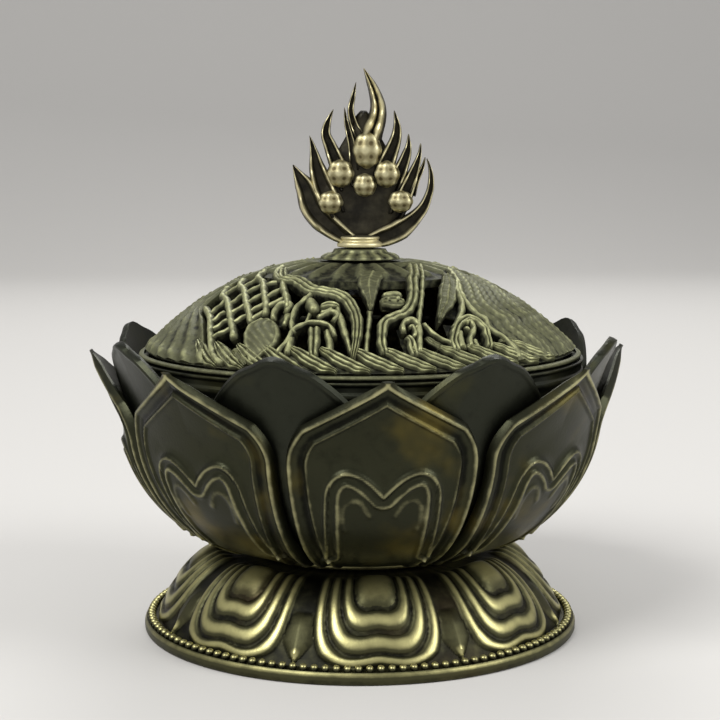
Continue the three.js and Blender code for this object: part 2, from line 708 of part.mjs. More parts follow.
// Bars of the openwork's front half, along paths of [degrees round the lid, share of the dome's
// radius]; the back half repeats them
const lidBars = [
  // the five long bars of the knot lattice and its cross-bars
  ...knotBars(knotBarWidth, knotBarLift, [
    [[-64, 0.73], [-52.1, 0.8], [-42.9, 0.889], [-39.5, 0.935]],
    [[-78, 0.57], [-56, 0.674], [-43.3, 0.776], [-38, 0.83]],
    [[-80, 0.48], [-54.7, 0.593], [-40, 0.703], [-34, 0.75]],
    [[-74, 0.42], [-52.1, 0.515], [-35.1, 0.643], [-31, 0.69]],
    [[-60, 0.37], [-42.5, 0.472], [-31, 0.585]],
  ]),
  ...knotBars(crossBarWidth, crossBarLift, [
    [[-52.8, 0.8], [-52.3, 0.74], [-53.3, 0.67]],
    [[-44.8, 0.87], [-41.8, 0.78]],
    [[-58, 0.76], [-62.8, 0.63]],
    [[-44.6, 0.768], [-42.2, 0.67]],
    [[-50.1, 0.625], [-50.7, 0.51]],
    [[-43.3, 0.677], [-41.3, 0.57]],
    [[-37.8, 0.727], [-35, 0.62]],
    [[-38.1, 0.616], [-36, 0.51]],
  ]),
  // the ribbon that sweeps down the front, its mirrored one, and the leaf and post between them
  { path: [[-52, 0.3], [-27.3, 0.434], [-9.3, 0.545], [-3.1, 0.635], [-0.6, 0.743], [-0.9, 0.94]],
    widths: [2.6, 3.2, 3, 0.9], lift: 1.3, top: ribbonTop },
  { path: [[62, 0.27], [32.2, 0.416], [24.4, 0.575], [17.6, 0.69], [8.6, 0.76], [6.6, 0.94]],
    widths: [2.7, 2.5, 1.4], lift: 1.3, top: ribbonTop },
  { path: [[12.5, 0.27], [6.5, 0.456], [4.8, 0.665]], widths: [4.4, 0.5], lift: 0.8 },
  { path: [[5.1, 0.63], [3.1, 0.774], [2.5, 0.94]], widths: [1, 1], lift: 0 },
  { path: [[46, 0.36], [29.9, 0.543], [18.8, 0.775]], widths: [1, 1], lift: 0.7 },
  // arch, its columns, and the flower and bands round it
  { path: [[-27.2, 0.955], [-22.7, 0.869], [-18.7, 0.784], [-11.4, 0.753], [-3.4, 0.85]],
    widths: [1, 1], lift: 1.2 },
  { path: [[-13.2, 0.76], [-11.6, 0.94]], widths: [2.2, 1.6], lift: 0.8 },
  { path: [[-10.2, 0.765], [-7.8, 0.94]], widths: [1.1, 1.1], lift: 0.3 },
  { path: [[-23.5, 0.64], [-17.8, 0.642], [-12.8, 0.7], [-6.6, 0.64]],
    widths: [1.2, 2, 1.8, 1.2], lift: 1.1 },
  { path: [[-18.7, 0.62], [-15.8, 0.78]], widths: [0.9, 0.9], lift: 0.4 },
  { path: [[-22.6, 0.54], [-23, 0.651], [-20, 0.8], [-17.4, 0.94]], widths: [1, 1.4], lift: 0.8 },
  { path: [[-31.5, 0.58], [-25.6, 0.743], [-21.5, 0.81]], widths: [1.2, 1.2], lift: 0.6 },
  // boss, eye scroll and the line below it
  { path: [[8.6, 0.54], [16.6, 0.55], [17.2, 0.61], [9.6, 0.66]], widths: [1.8, 1.8], lift: 0.8 },
  { path: [[12.6, 0.8], [16.5, 0.742], [19.5, 0.79], [16, 0.94]], widths: [1.2, 1.3], lift: 1.1 },
  { path: [[19.6, 0.74], [25, 0.846], [31.5, 0.944]], widths: [0.9, 0.9], lift: 0.7 },
  // side leaf, its curl and its scroll, and the edge of the scales
  { path: [[60, 0.42], [41.8, 0.583], [30.6, 0.705], [24, 0.79]], widths: [1.4, 3.4, 0.6], lift: 1.2 },
  { path: [[56, 0.5], [43.9, 0.632], [37, 0.746], [28, 0.94]], widths: [1.4, 1.9], lift: 1 },
  { path: [[33.5, 0.83], [35.2, 0.78], [39.6, 0.742], [42.4, 0.77], [35.6, 0.94]],
    widths: [1.2, 1.5, 1.3], lift: 1.2 },
  { path: [[50.7, 0.955], [49.4, 0.861], [44.2, 0.75], [53.4, 0.576], [74, 0.39]],
    widths: [1, 1], lift: 0.8 },
];
// The first of the slanting leaves round the rim
const borderLeaf = { path: [[-3, 0.9], [8.8, 0.972]], widths: [2, 1.4], lift: 0.8 };

function knotBars(width, lift, paths) {
  return paths.map((path) => ({ path, widths: [width, width], lift }));
}

function domeHeight(radius) {
  return lidSpring + lidDomeRise * (1 - (radius / lidDomeRadius) ** lidDomePower);
}

// A point so far above the dome, square to it
function onDome([angle, share], lift) {
  const radius = share * lidDomeRadius;
  const slope = (lidDomeRise * lidDomePower * share ** (lidDomePower - 1)) / lidDomeRadius;
  const rise = lift / Math.hypot(1, slope);
  return new THREE.Vector3(...polar(degrees(angle), radius + slope * rise, domeHeight(radius) + rise));
}

// A wedge through the dome wall under a ring of corners, pointing at a spot inside the bowl
function openingCutter(corners) {
  const onPaper = (ring) => ring.map(([angle, share]) => new THREE.Vector2(angle, -share));
  const ring = THREE.ShapeUtils.isClockWise(onPaper(corners)) ? [...corners].reverse() : corners;
  const focus = lidSpring - lidFocusDepth;
  const face = (deep) => ring.map(([angle, share]) => {
    const radius = share * lidDomeRadius;
    const height = domeHeight(radius) - focus;
    const scale = 1 - deep / Math.hypot(radius, height);
    return polar(degrees(angle), radius * scale, focus + height * scale);
  });
  const points = [...face(-2 * lidCrownWall), ...face(3 * lidCrownWall)].flat();
  const count = ring.length;
  const index = [];
  for (const [a, b, c] of THREE.ShapeUtils.triangulateShape(onPaper(ring), [])) {
    index.push(a, b, c, count + a, count + c, count + b);
  }
  for (let i = 0; i < count; i += 1) {
    const j = (i + 1) % count;
    index.push(j, i, count + i, j, count + i, count + j);
  }
  const geometry = new THREE.BufferGeometry();
  geometry.setAttribute('position', new THREE.BufferAttribute(new Float32Array(points), 3));
  geometry.setIndex(index);
  return geometry;
}

function lidGeometry() {
  const outerShares = [0.88, 0.7, 0.48, 0.25];
  const innerShares = [0.35, 0.7];
  const rise = lidCrownUnder - lidSpring;
  const underside = (share) => [share * skirtInner, lidSpring + rise * (1 - share ** lidDomePower)];
  const outside = (share) => [share * lidDomeRadius, domeHeight(share * lidDomeRadius)];
  const shell = turned(
    [
      [studBoreRadius, lidCrown],
      [studBoreRadius, lidCrownUnder],
      ...innerShares.map(underside),
      [skirtInner, lidSpring],
      [skirtInner, lidSeat - lidSkirtDepth],
      [skirtRadius, lidSeat - lidSkirtDepth],
      [skirtRadius, lidSeat],
      [lidRimRadius, lidSeat],
      [lidRimRadius, lidSpring],
      [lidDomeRadius, lidSpring + lidDomeEdge],
      ...outerShares.map(outside),
      [capRadius, lidCrown],
    ],
    bigSegments,
  );
  let solid = solidOf(shell);
  const bar = ({ path, widths, lift, top = 0 }, turn) => barSolid(
    path.map(([angle, share]) => [angle + turn, share]),
    onDome,
    { widths, lift, sink: barSink, top },
  );
  for (const turn of [0, 180]) {
    for (const ring of lidOpenings) {
      solid = solid.subtract(solidOf(openingCutter(ring).rotateZ(degrees(turn))));
    }
    for (const one of lidBars) solid = solid.add(bar(one, turn));
  }
  for (let leaf = 0; leaf < borderLeafCount; leaf += 1) {
    solid = solid.add(bar(borderLeaf, (360 * leaf) / borderLeafCount));
  }
  return geometryOf(solid);
}

// Finial

function capGeometry() {
  const top = capBottom + capThickness;
  return turned(
    [
      [studBoreRadius, capBottom],
      [capRadius, capBottom],
      [capRadius - capDraft, capBottom + capEdge],
      [capTopRadius, top],
      [studBoreRadius, top],
    ],
    smallSegments,
  );
}

// Flame outline as shares: across from the middle, and up from the plaque's bottom to its tip
const flameOutline = [
  [0.28, 0], [0.72, 0.14], [0.94, 0.28], [1, 0.4], [0.96, 0.46], [0.8, 0.44], [0.8, 0.6], [0.6, 0.57],
  [0.46, 0.75], [0.34, 0.66], [0.22, 0.84], [0.05, 1], [-0.08, 0.9], [-0.2, 0.79], [-0.42, 0.745],
  [-0.52, 0.58], [-0.72, 0.6], [-0.76, 0.43], [-0.94, 0.44], [-0.96, 0.32], [-0.78, 0.16], [-0.28, 0],
];
const flameHoles = [
  { across: -0.33, up: 0.6, wide: 0.09, tall: 0.055 },
  { across: 0.76, up: 0.36, wide: 0.08, tall: 0.05 },
  { across: -0.1, up: 0.75, wide: 0.07, tall: 0.06 },
];
// Middles and sizes of the jewels, the sizes as shares of the top one
const jewels = [
  { across: 0.02, up: 0.528, size: 1 },
  { across: -0.33, up: 0.4, size: 0.82 },
  { across: 0.33, up: 0.4, size: 0.82 },
  { across: 0, up: 0.305, size: 0.79 },
  { across: -0.51, up: 0.225, size: 0.75 },
  { across: 0.53, up: 0.23, size: 0.75 },
];

function finialGeometry() {
  const base = finialBottom + finialNeckHeight - plaqueSink;
  const rise = finialTopHeight - base;
  const place = (across, up) => new THREE.Vector2(across * finialHalfWidth, base + up * rise);
  const outline = new THREE.Shape(flameOutline.map(([across, up]) => place(across, up)));
  for (const { across, up, wide, tall } of flameHoles) {
    const middle = place(across, up);
    const hole = new THREE.Path();
    hole.absellipse(middle.x, middle.y, wide * finialHalfWidth, tall * rise, 0, 2 * Math.PI);
    outline.holes.push(hole);
  }
  const extrusion = { depth: plaqueThickness, bevelEnabled: false, curveSegments: 4 };
  const plaque = new THREE.ExtrudeGeometry(outline, extrusion)
    .translate(0, 0, -plaqueThickness / 2)
    .rotateX(Math.PI / 2);
  const stud = turned(
    [
      [0, finialNutBottom - studTail],
      [studRadius, finialNutBottom - studTail],
      [studRadius, finialBottom],
      [finialNeckRadius, finialBottom],
      [finialNeckTopRadius, finialBottom + finialNeckHeight],
      [0, finialBottom + finialNeckHeight],
    ],
    smallSegments,
  );
  let solid = solidOf(plaque).add(solidOf(stud));
  for (const { across, up, size } of jewels) {
    const middle = place(across, up);
    for (const side of [-1, 1]) {
      const jewel = new THREE.SphereGeometry(size * jewelRadius, jewelSegments, jewelRings)
        .rotateX(Math.PI / 2)
        .translate(middle.x, side * jewelOffset, middle.y);
      solid = solid.add(solidOf(jewel));
    }
  }
  return geometryOf(solid);
}

// Assembly

function piece(name, geometry, finish) {
  const mesh = new THREE.Mesh(geometry, new THREE.MeshStandardMaterial(finish));
  mesh.name = name;
  return mesh;
}

const holder = new THREE.Group();
holder.add(piece('foot', footGeometry(), agedBrass));
holder.add(piece('neck_collar', collarGeometry(), brightBrass));
for (let i = 0; i < petalCount; i += 1) {
  const outer = piece(`outer_petal_${i + 1}`, outerPetalGeometry(), agedBrass);
  outer.rotation.z = i * petalPitch;
  holder.add(outer);
  const inner = piece(`inner_petal_${i + 1}`, innerPetalGeometry(), darkBrass);
  inner.rotation.z = (i + 0.5) * petalPitch;
  holder.add(inner);
}
holder.add(piece('cup', cupGeometry(), agedBrass));
holder.add(piece('centre_screw', centreScrewGeometry(), steel));
const footWasher = washerGeometry(footWasherRadius, screwBoreRadius, footWasherTop);
holder.add(piece('foot_washer', footWasher, steel));
const footNut = nutGeometry(footNutAcross, screwBoreRadius, footNutBottom, footNutHeight);
holder.add(piece('foot_nut', footNut, steel));
holder.add(piece('ash_dish', dishGeometry(), brightBrass));
holder.add(piece('cone_seat', coneSeatGeometry(), brightBrass));

const lidGroup = new THREE.Group();
lidGroup.rotation.z = lidTurn;
lidGroup.add(piece('lid', lidGeometry(), lidBrass));
lidGroup.add(piece('lid_cap', capGeometry(), lidBrass));
lidGroup.add(piece('finial', finialGeometry(), brightBrass));
const lidWasher = washerGeometry(finialWasherRadius, studBoreRadius, finialWasherTop);
lidGroup.add(piece('finial_washer', lidWasher, steel));
const lidNut = nutGeometry(finialNutAcross, studBoreRadius, finialNutBottom, finialNutHeight);
lidGroup.add(piece('finial_nut', lidNut, steel));
holder.add(lidGroup);

export default holder;
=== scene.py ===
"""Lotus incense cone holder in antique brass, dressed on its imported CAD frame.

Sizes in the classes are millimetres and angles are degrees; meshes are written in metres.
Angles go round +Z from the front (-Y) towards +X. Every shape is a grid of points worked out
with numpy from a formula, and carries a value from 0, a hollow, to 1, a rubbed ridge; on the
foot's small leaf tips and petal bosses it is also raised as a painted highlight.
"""

import logging
from collections.abc import Callable
from dataclasses import dataclass, field
from enum import Enum

import bpy
import numpy as np
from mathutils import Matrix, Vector


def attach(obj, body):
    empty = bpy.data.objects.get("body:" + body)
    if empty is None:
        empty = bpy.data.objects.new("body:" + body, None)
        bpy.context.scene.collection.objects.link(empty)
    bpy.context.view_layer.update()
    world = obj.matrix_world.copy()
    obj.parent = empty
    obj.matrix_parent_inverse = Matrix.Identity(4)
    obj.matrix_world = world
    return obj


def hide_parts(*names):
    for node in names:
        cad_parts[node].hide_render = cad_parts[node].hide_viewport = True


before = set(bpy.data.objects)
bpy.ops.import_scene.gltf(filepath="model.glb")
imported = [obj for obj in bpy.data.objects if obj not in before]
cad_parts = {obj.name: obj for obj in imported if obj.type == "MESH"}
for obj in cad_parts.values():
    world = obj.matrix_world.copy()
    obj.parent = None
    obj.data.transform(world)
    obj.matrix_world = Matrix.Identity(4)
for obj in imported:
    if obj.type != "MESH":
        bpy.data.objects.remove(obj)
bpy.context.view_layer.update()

MM = 0.001
FULL_TURN = 360.0
TINY = 1e-9
HOLLOW_WEAR = (0.02, 0.3)
TINTED_PATCHES = (0.5, 0.78)
MOTTLED_ROUGHNESS = 0.12
Socket = bpy.types.NodeSocket
Tree = bpy.types.NodeTree
log = logging.getLogger("lotus_burner")


# Colour and node helpers


def linear(hex_colour: str) -> tuple[float, float, float, float]:
    """Turns an sRGB hex colour into linear RGBA.

    Args:
        hex_colour: Six hex digits after a hash sign.

    Returns:
        Red, green, blue and an alpha of 1.
    """
    srgb = np.array([int(hex_colour[i : i + 2], 16) / 255 for i in (1, 3, 5)])
    flat = np.where(srgb <= 0.04045, srgb / 12.92, ((srgb + 0.055) / 1.055) ** 2.4)
    return (*flat.tolist(), 1.0)


def add_node(
    tree: Tree, kind: str, settings: dict | None = None, links: dict | None = None
) -> bpy.types.Node:
    """Adds a node, sets its properties and input values, and links its inputs.

    Args:
        tree: The node tree.
        kind: The node type's name.
        settings: Property names, or input names or indices, to values.
        links: Input names or indices to the sockets that feed them.

    Returns:
        The new node.
    """
    node = tree.nodes.new(kind)
    for key, value in (settings or {}).items():
        if isinstance(key, str) and hasattr(node, key):
            setattr(node, key, value)
        else:
            node.inputs[key].default_value = value
    for key, socket in (links or {}).items():
        tree.links.new(socket, node.inputs[key])
    return node


# Finishes


@dataclass(frozen=True)
class AgedBrass:
    """Cast brass, darkened by a waxed patina and rubbed back along its ridges.

    The eye sees an almost black olive metal in the hollows, a dull yellow metal on the
    ridges, uneven patches between them and a faint cast skin in the reflections.
    """

    name: str
    hollow: str
    patina: str
    rubbed: str
    tint: str
    tint_amount: float = 0.3
    rubbed_from: float = 0.45
    rubbed_to: float = 0.95
    rough_patina: float = 0.4
    rough_rubbed: float = 0.3
    metallic: float = 0.9
    patch_mm: float = 14.0
    mottle_mm: float = 2.2
    grain_mm: float = 0.45
    grain_depth_mm: float = 0.02
    mottle_amount: float = 0.35

    def material(self) -> bpy.types.Material:
        """Builds the node material, or returns the one built before.

        Returns:
            A procedural material that reads Object coordinates and the wear attribute.
        """
        known = bpy.data.materials.get(self.name)
        if known:
            return known
        material = bpy.data.materials.new(self.name)
        material.use_nodes = True
        tree = material.node_tree
        tree.nodes.clear()
        place = add_node(tree, "ShaderNodeTexCoord").outputs["Object"]
        wear_and_highlight = add_node(tree, "ShaderNodeAttribute", {"attribute_name": "wear_and_highlight"}).outputs["Fac"]
        patches = self._noise(tree, place, self.patch_mm, 3.0)
        mottle = self._noise(tree, place, self.mottle_mm, 5.0)
        grain = self._noise(tree, place, self.grain_mm, 2.0)
        spread = {1: self.mottle_amount, 2: -0.5 * self.mottle_amount}
        blotch = self._maths(tree, "MULTIPLY_ADD", spread, {0: mottle})
        uneven = self._maths(tree, "ADD", {}, {0: wear_and_highlight, 1: blotch})
        # Rubbed metal colour where the value is high; on the foot's leaf tips and bosses part of it
        # is a painted highlight.
        bright = self._ramp(tree, uneven, self.rubbed_from, self.rubbed_to)
        deep = self._ramp(tree, uneven, *HOLLOW_WEAR)
        tinted_share = self._ramp(tree, patches, *TINTED_PATCHES)
        tinted_amount = self._maths(tree, "MULTIPLY", {1: self.tint_amount}, {0: tinted_share})
        ground = self._mix(tree, deep, linear(self.hollow), linear(self.patina))
        tinted = self._mix(tree, tinted_amount, ground, linear(self.tint))
        colour = self._mix(tree, bright, tinted, linear(self.rubbed))
        roughness = {"To Min": self.rough_patina, "To Max": self.rough_rubbed}
        rough = add_node(tree, "ShaderNodeMapRange", roughness, {"Value": bright}).outputs[0]
        uneven_rough = {0: mottle, 2: rough}
        rough_uneven = self._maths(tree, "MULTIPLY_ADD", {1: MOTTLED_ROUGHNESS}, uneven_rough)
        depth = {"Strength": 1.0, "Distance": self.grain_depth_mm * MM}
        bump = add_node(tree, "ShaderNodeBump", depth, {"Height": grain}).outputs[0]
        shader = add_node(
            tree,
            "ShaderNodeBsdfPrincipled",
            {"Metallic": self.metallic},
            {"Base Color": colour, "Roughness": rough_uneven, "Normal": bump},
        )
        add_node(tree, "ShaderNodeOutputMaterial", links={"Surface": shader.outputs[0]})
        return material

    @staticmethod
    def _maths(tree: Tree, operation: str, values: dict, links: dict) -> Socket:
        """One step of arithmetic on sockets and fixed values."""
        settings = {"operation": operation, **values}
        return add_node(tree, "ShaderNodeMath", settings, links).outputs[0]

    @staticmethod
    def _noise(tree: Tree, place: Socket, size_mm: float, detail: float) -> Socket:
        """Noise whose blobs are about size_mm across."""
        settings = {"Scale": 1 / (size_mm * MM), "Detail": detail, "Roughness": 0.55}
        return add_node(tree, "ShaderNodeTexNoise", settings, {"Vector": place}).outputs["Fac"]

    @staticmethod
    def _ramp(tree: Tree, value: Socket, low: float, high: float) -> Socket:
        """A smooth step from 0 at low to 1 at high."""
        settings = {"interpolation_type": "SMOOTHSTEP", "From Min": low, "From Max": high}
        return add_node(tree, "ShaderNodeMapRange", settings, {"Value": value}).outputs[0]

    @staticmethod
    def _mix(tree: Tree, share: Socket, first: Socket | tuple, second: Socket | tuple) -> Socket:
        """Mixes two colours, each a socket or a fixed RGBA."""
        node = add_node(tree, "ShaderNodeMix", {"data_type": "RGBA"}, {0: share})
        for index, colour in ((6, first), (7, second)):
            if isinstance(colour, Socket):
                tree.links.new(colour, node.inputs[index])
            else:
                node.inputs[index].default_value = colour
        return node.outputs[2]


class Finish(Enum):
    """The finishes that the pieces choose from."""

    BOWL = AgedBrass(
        "waxed_patina_cast_brass", "#12130c", "#2f3022", "#aaa67c", "#6a5e2a",
        tint_amount=0.75, rubbed_from=0.46, rubbed_to=0.95, rough_patina=0.33, rough_rubbed=0.32,
        mottle_amount=0.45,
    )
    INNER_PETAL = AgedBrass(
        "dark_patina_cast_brass", "#171812", "#2d2f26", "#66664b", "#4c4a28",
        tint_amount=0.6, rough_patina=0.33, rough_rubbed=0.36, mottle_amount=0.45,
    )
    FOOT = AgedBrass(
        "rubbed_patina_cast_brass", "#14140e", "#47462f", "#b6b07a", "#4f4128",
        rubbed_from=0.45, rubbed_to=1.0, rough_patina=0.42, rough_rubbed=0.3,
    )
    LID = AgedBrass(
        "pale_patina_pierced_brass", "#1d1e16", "#5c5d44", "#a0a176", "#565340",
        rubbed_from=0.4, rubbed_to=0.95, rough_patina=0.56, rough_rubbed=0.46, metallic=0.75,
        mottle_mm=1.1, mottle_amount=0.7, grain_mm=0.6, grain_depth_mm=0.05,
    )
    FINIAL = AgedBrass(
        "rubbed_finial_brass", "#1a1813", "#4a4637", "#cfc69c", "#3c3426",
        rubbed_from=0.3, rubbed_to=0.75, rough_patina=0.42, rough_rubbed=0.4, metallic=0.8,
    )
    JEWEL = AgedBrass(
        "burnished_jewel_brass", "#4a4128", "#8c8462", "#c6bf98", "#6d5f3c", tint_amount=0.6,
        patch_mm=3.0, rubbed_from=0.35, rubbed_to=0.9, rough_patina=0.4, rough_rubbed=0.36,
        metallic=0.8, mottle_amount=0.5,
    )
    DISH = AgedBrass(
        "spun_plain_brass", "#5d4c28", "#a08a50", "#c8b273", "#7a6236",
        rubbed_from=0.4, rubbed_to=0.9, rough_patina=0.34, rough_rubbed=0.28, metallic=1.0,
        grain_depth_mm=0.008,
    )
    STEEL = AgedBrass(
        "zinc_plated_steel", "#3d3e3c", "#85878a", "#b4b6b8", "#6f7072",
        rough_patina=0.34, rough_rubbed=0.28, metallic=1.0, grain_depth_mm=0.006,
    )


# Curves and grids


def walk(line: np.ndarray) -> np.ndarray:
    """Distance walked along a line of points to each of them."""
    return np.r_[0, np.cumsum(np.linalg.norm(np.diff(line, axis=0), axis=1))]


def through(points: np.ndarray, count: int) -> np.ndarray:
    """A smooth curve through given points, evenly spaced by length.

    Formula: a Catmull-Rom cubic between each pair of points, whose slope at a point is half the
    step between its neighbours, then resampled by arc length.

    Args:
        points: (n, k) points in order.
        count: How many points to return.

    Returns:
        (count, k) points.
    """
    points = np.asarray(points, float)
    ring = np.vstack([2 * points[0] - points[1], points, 2 * points[-1] - points[-2]])
    t = np.linspace(0, 1, 24, endpoint=False)[:, None, None]
    a, b, c, d = ring[:-3], ring[1:-2], ring[2:-1], ring[3:]
    square, cube = 2 * a - 5 * b + 4 * c - d, 3 * b - a - 3 * c + d
    cubic = 0.5 * (2 * b + (c - a) * t + square * t**2 + cube * t**3)
    dense = np.vstack([cubic.transpose(1, 0, 2).reshape(-1, points.shape[1]), ring[-2][None]])
    length = walk(dense)
    marks = np.linspace(0, length[-1], count)
    return np.stack([np.interp(marks, length, dense[:, k]) for k in range(points.shape[1])], 1)


def rounded(corners: np.ndarray, radius: float, steps: int = 5) -> np.ndarray:
    """A line through corners with each inner corner rounded off.

    Formula: a corner is replaced by a quadratic Bezier curve that leaves and joins the two sides at
    the given distance from the corner, or at 45% of a shorter side.

    Args:
        corners: (n, 2) points.
        radius: Distance from a corner at which its rounding starts.
        steps: Points in each rounding.

    Returns:
        (m, 2) points.
    """
    corners = np.asarray(corners, float)
    before, here, after = corners[:-2], corners[1:-1], corners[2:]
    back, ahead = before - here, after - here
    back_length = np.linalg.norm(back, axis=1, keepdims=True)
    ahead_length = np.linalg.norm(ahead, axis=1, keepdims=True)
    start = here + back / back_length * np.minimum(radius, 0.45 * back_length)
    end = here + ahead / ahead_length * np.minimum(radius, 0.45 * ahead_length)
    t = np.linspace(0, 1, steps)[None, :, None]
    curve = (1 - t) ** 2 * start[:, None] + 2 * (1 - t) * t * here[:, None] + t**2 * end[:, None]
    return np.vstack([corners[:1], curve.reshape(-1, 2), corners[-1:]])


def bezier(
    start: np.ndarray,
    start_handle: np.ndarray,
    end_handle: np.ndarray,
    end: np.ndarray,
    t: np.ndarray,
) -> np.ndarray:
    """Points on a cubic Bezier curve, one row for each value of t."""
    t = np.asarray(t, float)[:, None]
    s = 1 - t
    parts = (s**3, 3 * s * s * t, 3 * s * t * t, t**3)
    points = (start, start_handle, end_handle, end)
    return sum(part * np.asarray(point, float) for part, point in zip(parts, points))


def distance_to_line(x: np.ndarray, y: np.ndarray, line: np.ndarray) -> np.ndarray:
    """Shortest distance from each point to a line of straight pieces.

    Args:
        x: Point coordinates, any shape.
        y: Point coordinates, the same shape.
        line: (n, 2) points of the line.

    Returns:
        Distances in the shape of x.
    """
    spot = np.stack([x.ravel(), y.ravel()], 1)[:, None]
    start, step = line[:-1][None], np.diff(line, axis=0)[None]
    along = np.clip(((spot - start) * step).sum(2) / np.maximum((step**2).sum(2), 1e-12), 0, 1)
    return np.linalg.norm(spot - start - along[..., None] * step, axis=2).min(1).reshape(x.shape)


def ridge(distance: np.ndarray, half_width: float) -> np.ndarray:
    """A round-topped ridge: a half cosine, 1 at distance 0 and 0 beyond half_width."""
    return 0.5 * (1 + np.cos(np.pi * np.clip(np.abs(distance) / half_width, 0, 1)))


def step_up(value: np.ndarray, low: float, high: float) -> np.ndarray:
    """A smooth step from 0 at low to 1 at high (3t^2 - 2t^3)."""
    t = np.clip((value - low) / (high - low), 0, 1)
    return t * t * (3 - 2 * t)


def polar(angle: np.ndarray, radius: np.ndarray, height: np.ndarray) -> np.ndarray:
    """Points from degrees round the axis, radius and height, all broadcast together."""
    angle, radius, height = np.broadcast_arrays(np.radians(angle), radius, height)
    return np.stack([radius * np.sin(angle), -radius * np.cos(angle), height], -1)


def outward_normals(line: np.ndarray) -> np.ndarray:
    """Unit vectors to the right of a [radius, height] line as it is walked."""
    along = np.gradient(line, axis=0)
    along /= np.maximum(np.linalg.norm(along, axis=1, keepdims=True), TINY)
    return np.stack([along[:, 1], -along[:, 0]], 1)


@dataclass
class Surface:
    """Points, faces and wear of one closed body, in millimetres."""

    points: np.ndarray
    faces: list[np.ndarray]
    wear_and_highlight: np.ndarray

    def moved(self, turn: float = 0.0) -> "Surface":
        """The same body turned round +Z by so many degrees."""
        cosine, sine = np.cos(np.radians(turn)), np.sin(np.radians(turn))
        spin = np.array([[cosine, -sine, 0], [sine, cosine, 0], [0, 0, 1]])
        return Surface(self.points @ spin.T, self.faces, self.wear_and_highlight)


def grid_faces(
    rows: int, columns: int, wrap_rows: bool = False, wrap_columns: bool = False
) -> np.ndarray:
    """Quads of a grid of points numbered row by row.

    Args:
        rows: Rows of points.
        columns: Columns of points.
        wrap_rows: Whether the last row joins the first.
        wrap_columns: Whether the last column joins the first.

    Returns:
        (n, 4) point numbers, which turn right-handed for columns to the right and rows upwards.
    """
    steps_up = np.arange(rows if wrap_rows else rows - 1)
    steps_round = np.arange(columns if wrap_columns else columns - 1)
    row, column = np.meshgrid(steps_up, steps_round, indexing="ij")
    beside = (column + 1) % columns
    here, above = row * columns, (row + 1) % rows * columns
    corners = (here + column, here + beside, above + beside, above + column)
    return np.stack(corners, -1).reshape(-1, 4)


def revolved(
    line: np.ndarray, columns: int, lift: np.ndarray | None = None, wear_and_highlight: np.ndarray | float = 0.3
) -> Surface:
    """A body turned round +Z, with an optional relief on its surface.

    Formula: point (i, j) is line[i] moved along its own normal by lift[i, j] and turned by j steps.

    Args:
        line: (n, 2) radius and height, walked with the solid on the left. It starts and ends on
            the axis, or is a loop that leaves out the repeat of its first point.
        columns: Steps round the axis.
        lift: (n, columns) relief heights.
        wear_and_highlight: (n, columns) wear values, or (n, 1), or one value.

    Returns:
        The closed body.
    """
    line = np.asarray(line, float)
    angle = np.arange(columns) * FULL_TURN / columns
    normal = outward_normals(line)
    lift = np.zeros((len(line), columns)) if lift is None else lift
    radius = line[:, :1] + lift * normal[:, :1]
    height = line[:, 1:] + lift * normal[:, 1:]
    points = polar(angle[None], radius, height)
    worn = np.broadcast_to(wear_and_highlight, (len(line), columns)).astype(float)
    if line[0, 0] != 0:
        faces = [grid_faces(len(line), columns, True, True)]
        return Surface(points.reshape(-1, 3), faces, worn.ravel())
    rows = len(line) - 2
    ring = np.arange(columns)
    beside = (ring + 1) % columns
    bottom, top = rows * columns, rows * columns + 1
    last = (rows - 1) * columns
    faces = [
        grid_faces(rows, columns, False, True),
        np.stack([np.full(columns, bottom), beside, ring], 1),
        np.stack([np.full(columns, top), last + ring, last + beside], 1),
    ]
    body = np.vstack([points[1:-1].reshape(-1, 3), points[0, :1], points[-1, :1]])
    return Surface(body, faces, np.r_[worn[1:-1].ravel(), worn[0, 0], worn[-1, 0]])


def sheet(
    outer: np.ndarray, inner: np.ndarray, wear_and_highlight: np.ndarray, inner_wear: float, bulge: float
) -> Surface:
    """A thick sheet between two grids, with rounded side edges.

    Formula: each row is a loop along the outer face, round a middle edge point pushed outwards by
    bulge, back along the inner face and round the other edge point.

    Args:
        outer: (rows, columns, 3) points of the outer face.
        inner: The same for the inner face.
        wear_and_highlight: (rows, columns) wear of the outer face.
        inner_wear: Wear of the inner face.
        bulge: How far the side edges swell.

    Returns:
        The closed body.
    """
    rows, columns = outer.shape[:2]

    def edge(side: int, inside: int) -> np.ndarray:
        middle = (outer[:, side] + inner[:, side]) / 2
        away = outer[:, side] - outer[:, inside]
        away /= np.maximum(np.linalg.norm(away, axis=1, keepdims=True), TINY)
        return (middle + bulge * away)[:, None]

    loop = np.concatenate([outer, edge(-1, -2), inner[:, ::-1], edge(0, 1)], axis=1)
    edge_wear = wear_and_highlight[:, -1:] * 0.8
    back_wear = np.full((rows, columns), inner_wear)
    worn = np.concatenate([wear_and_highlight, edge_wear, back_wear, edge_wear], axis=1)
    around = loop.shape[1]
    front = np.arange(columns - 1)
    back = 2 * columns - front
    caps = []
    for base, flip in ((0, False), ((rows - 1) * around, True)):
        quads = np.stack([front, back, back - 1, front + 1], 1) + base
        ends = np.array([[columns - 1, columns + 1, columns], [around - 1, 2 * columns, 0]]) + base
        caps += [quads[:, ::-1], ends[:, ::-1]] if flip else [quads, ends]
    faces = [grid_faces(rows, around, False, True), *caps]
    return Surface(loop.reshape(-1, 3), faces, worn.ravel())


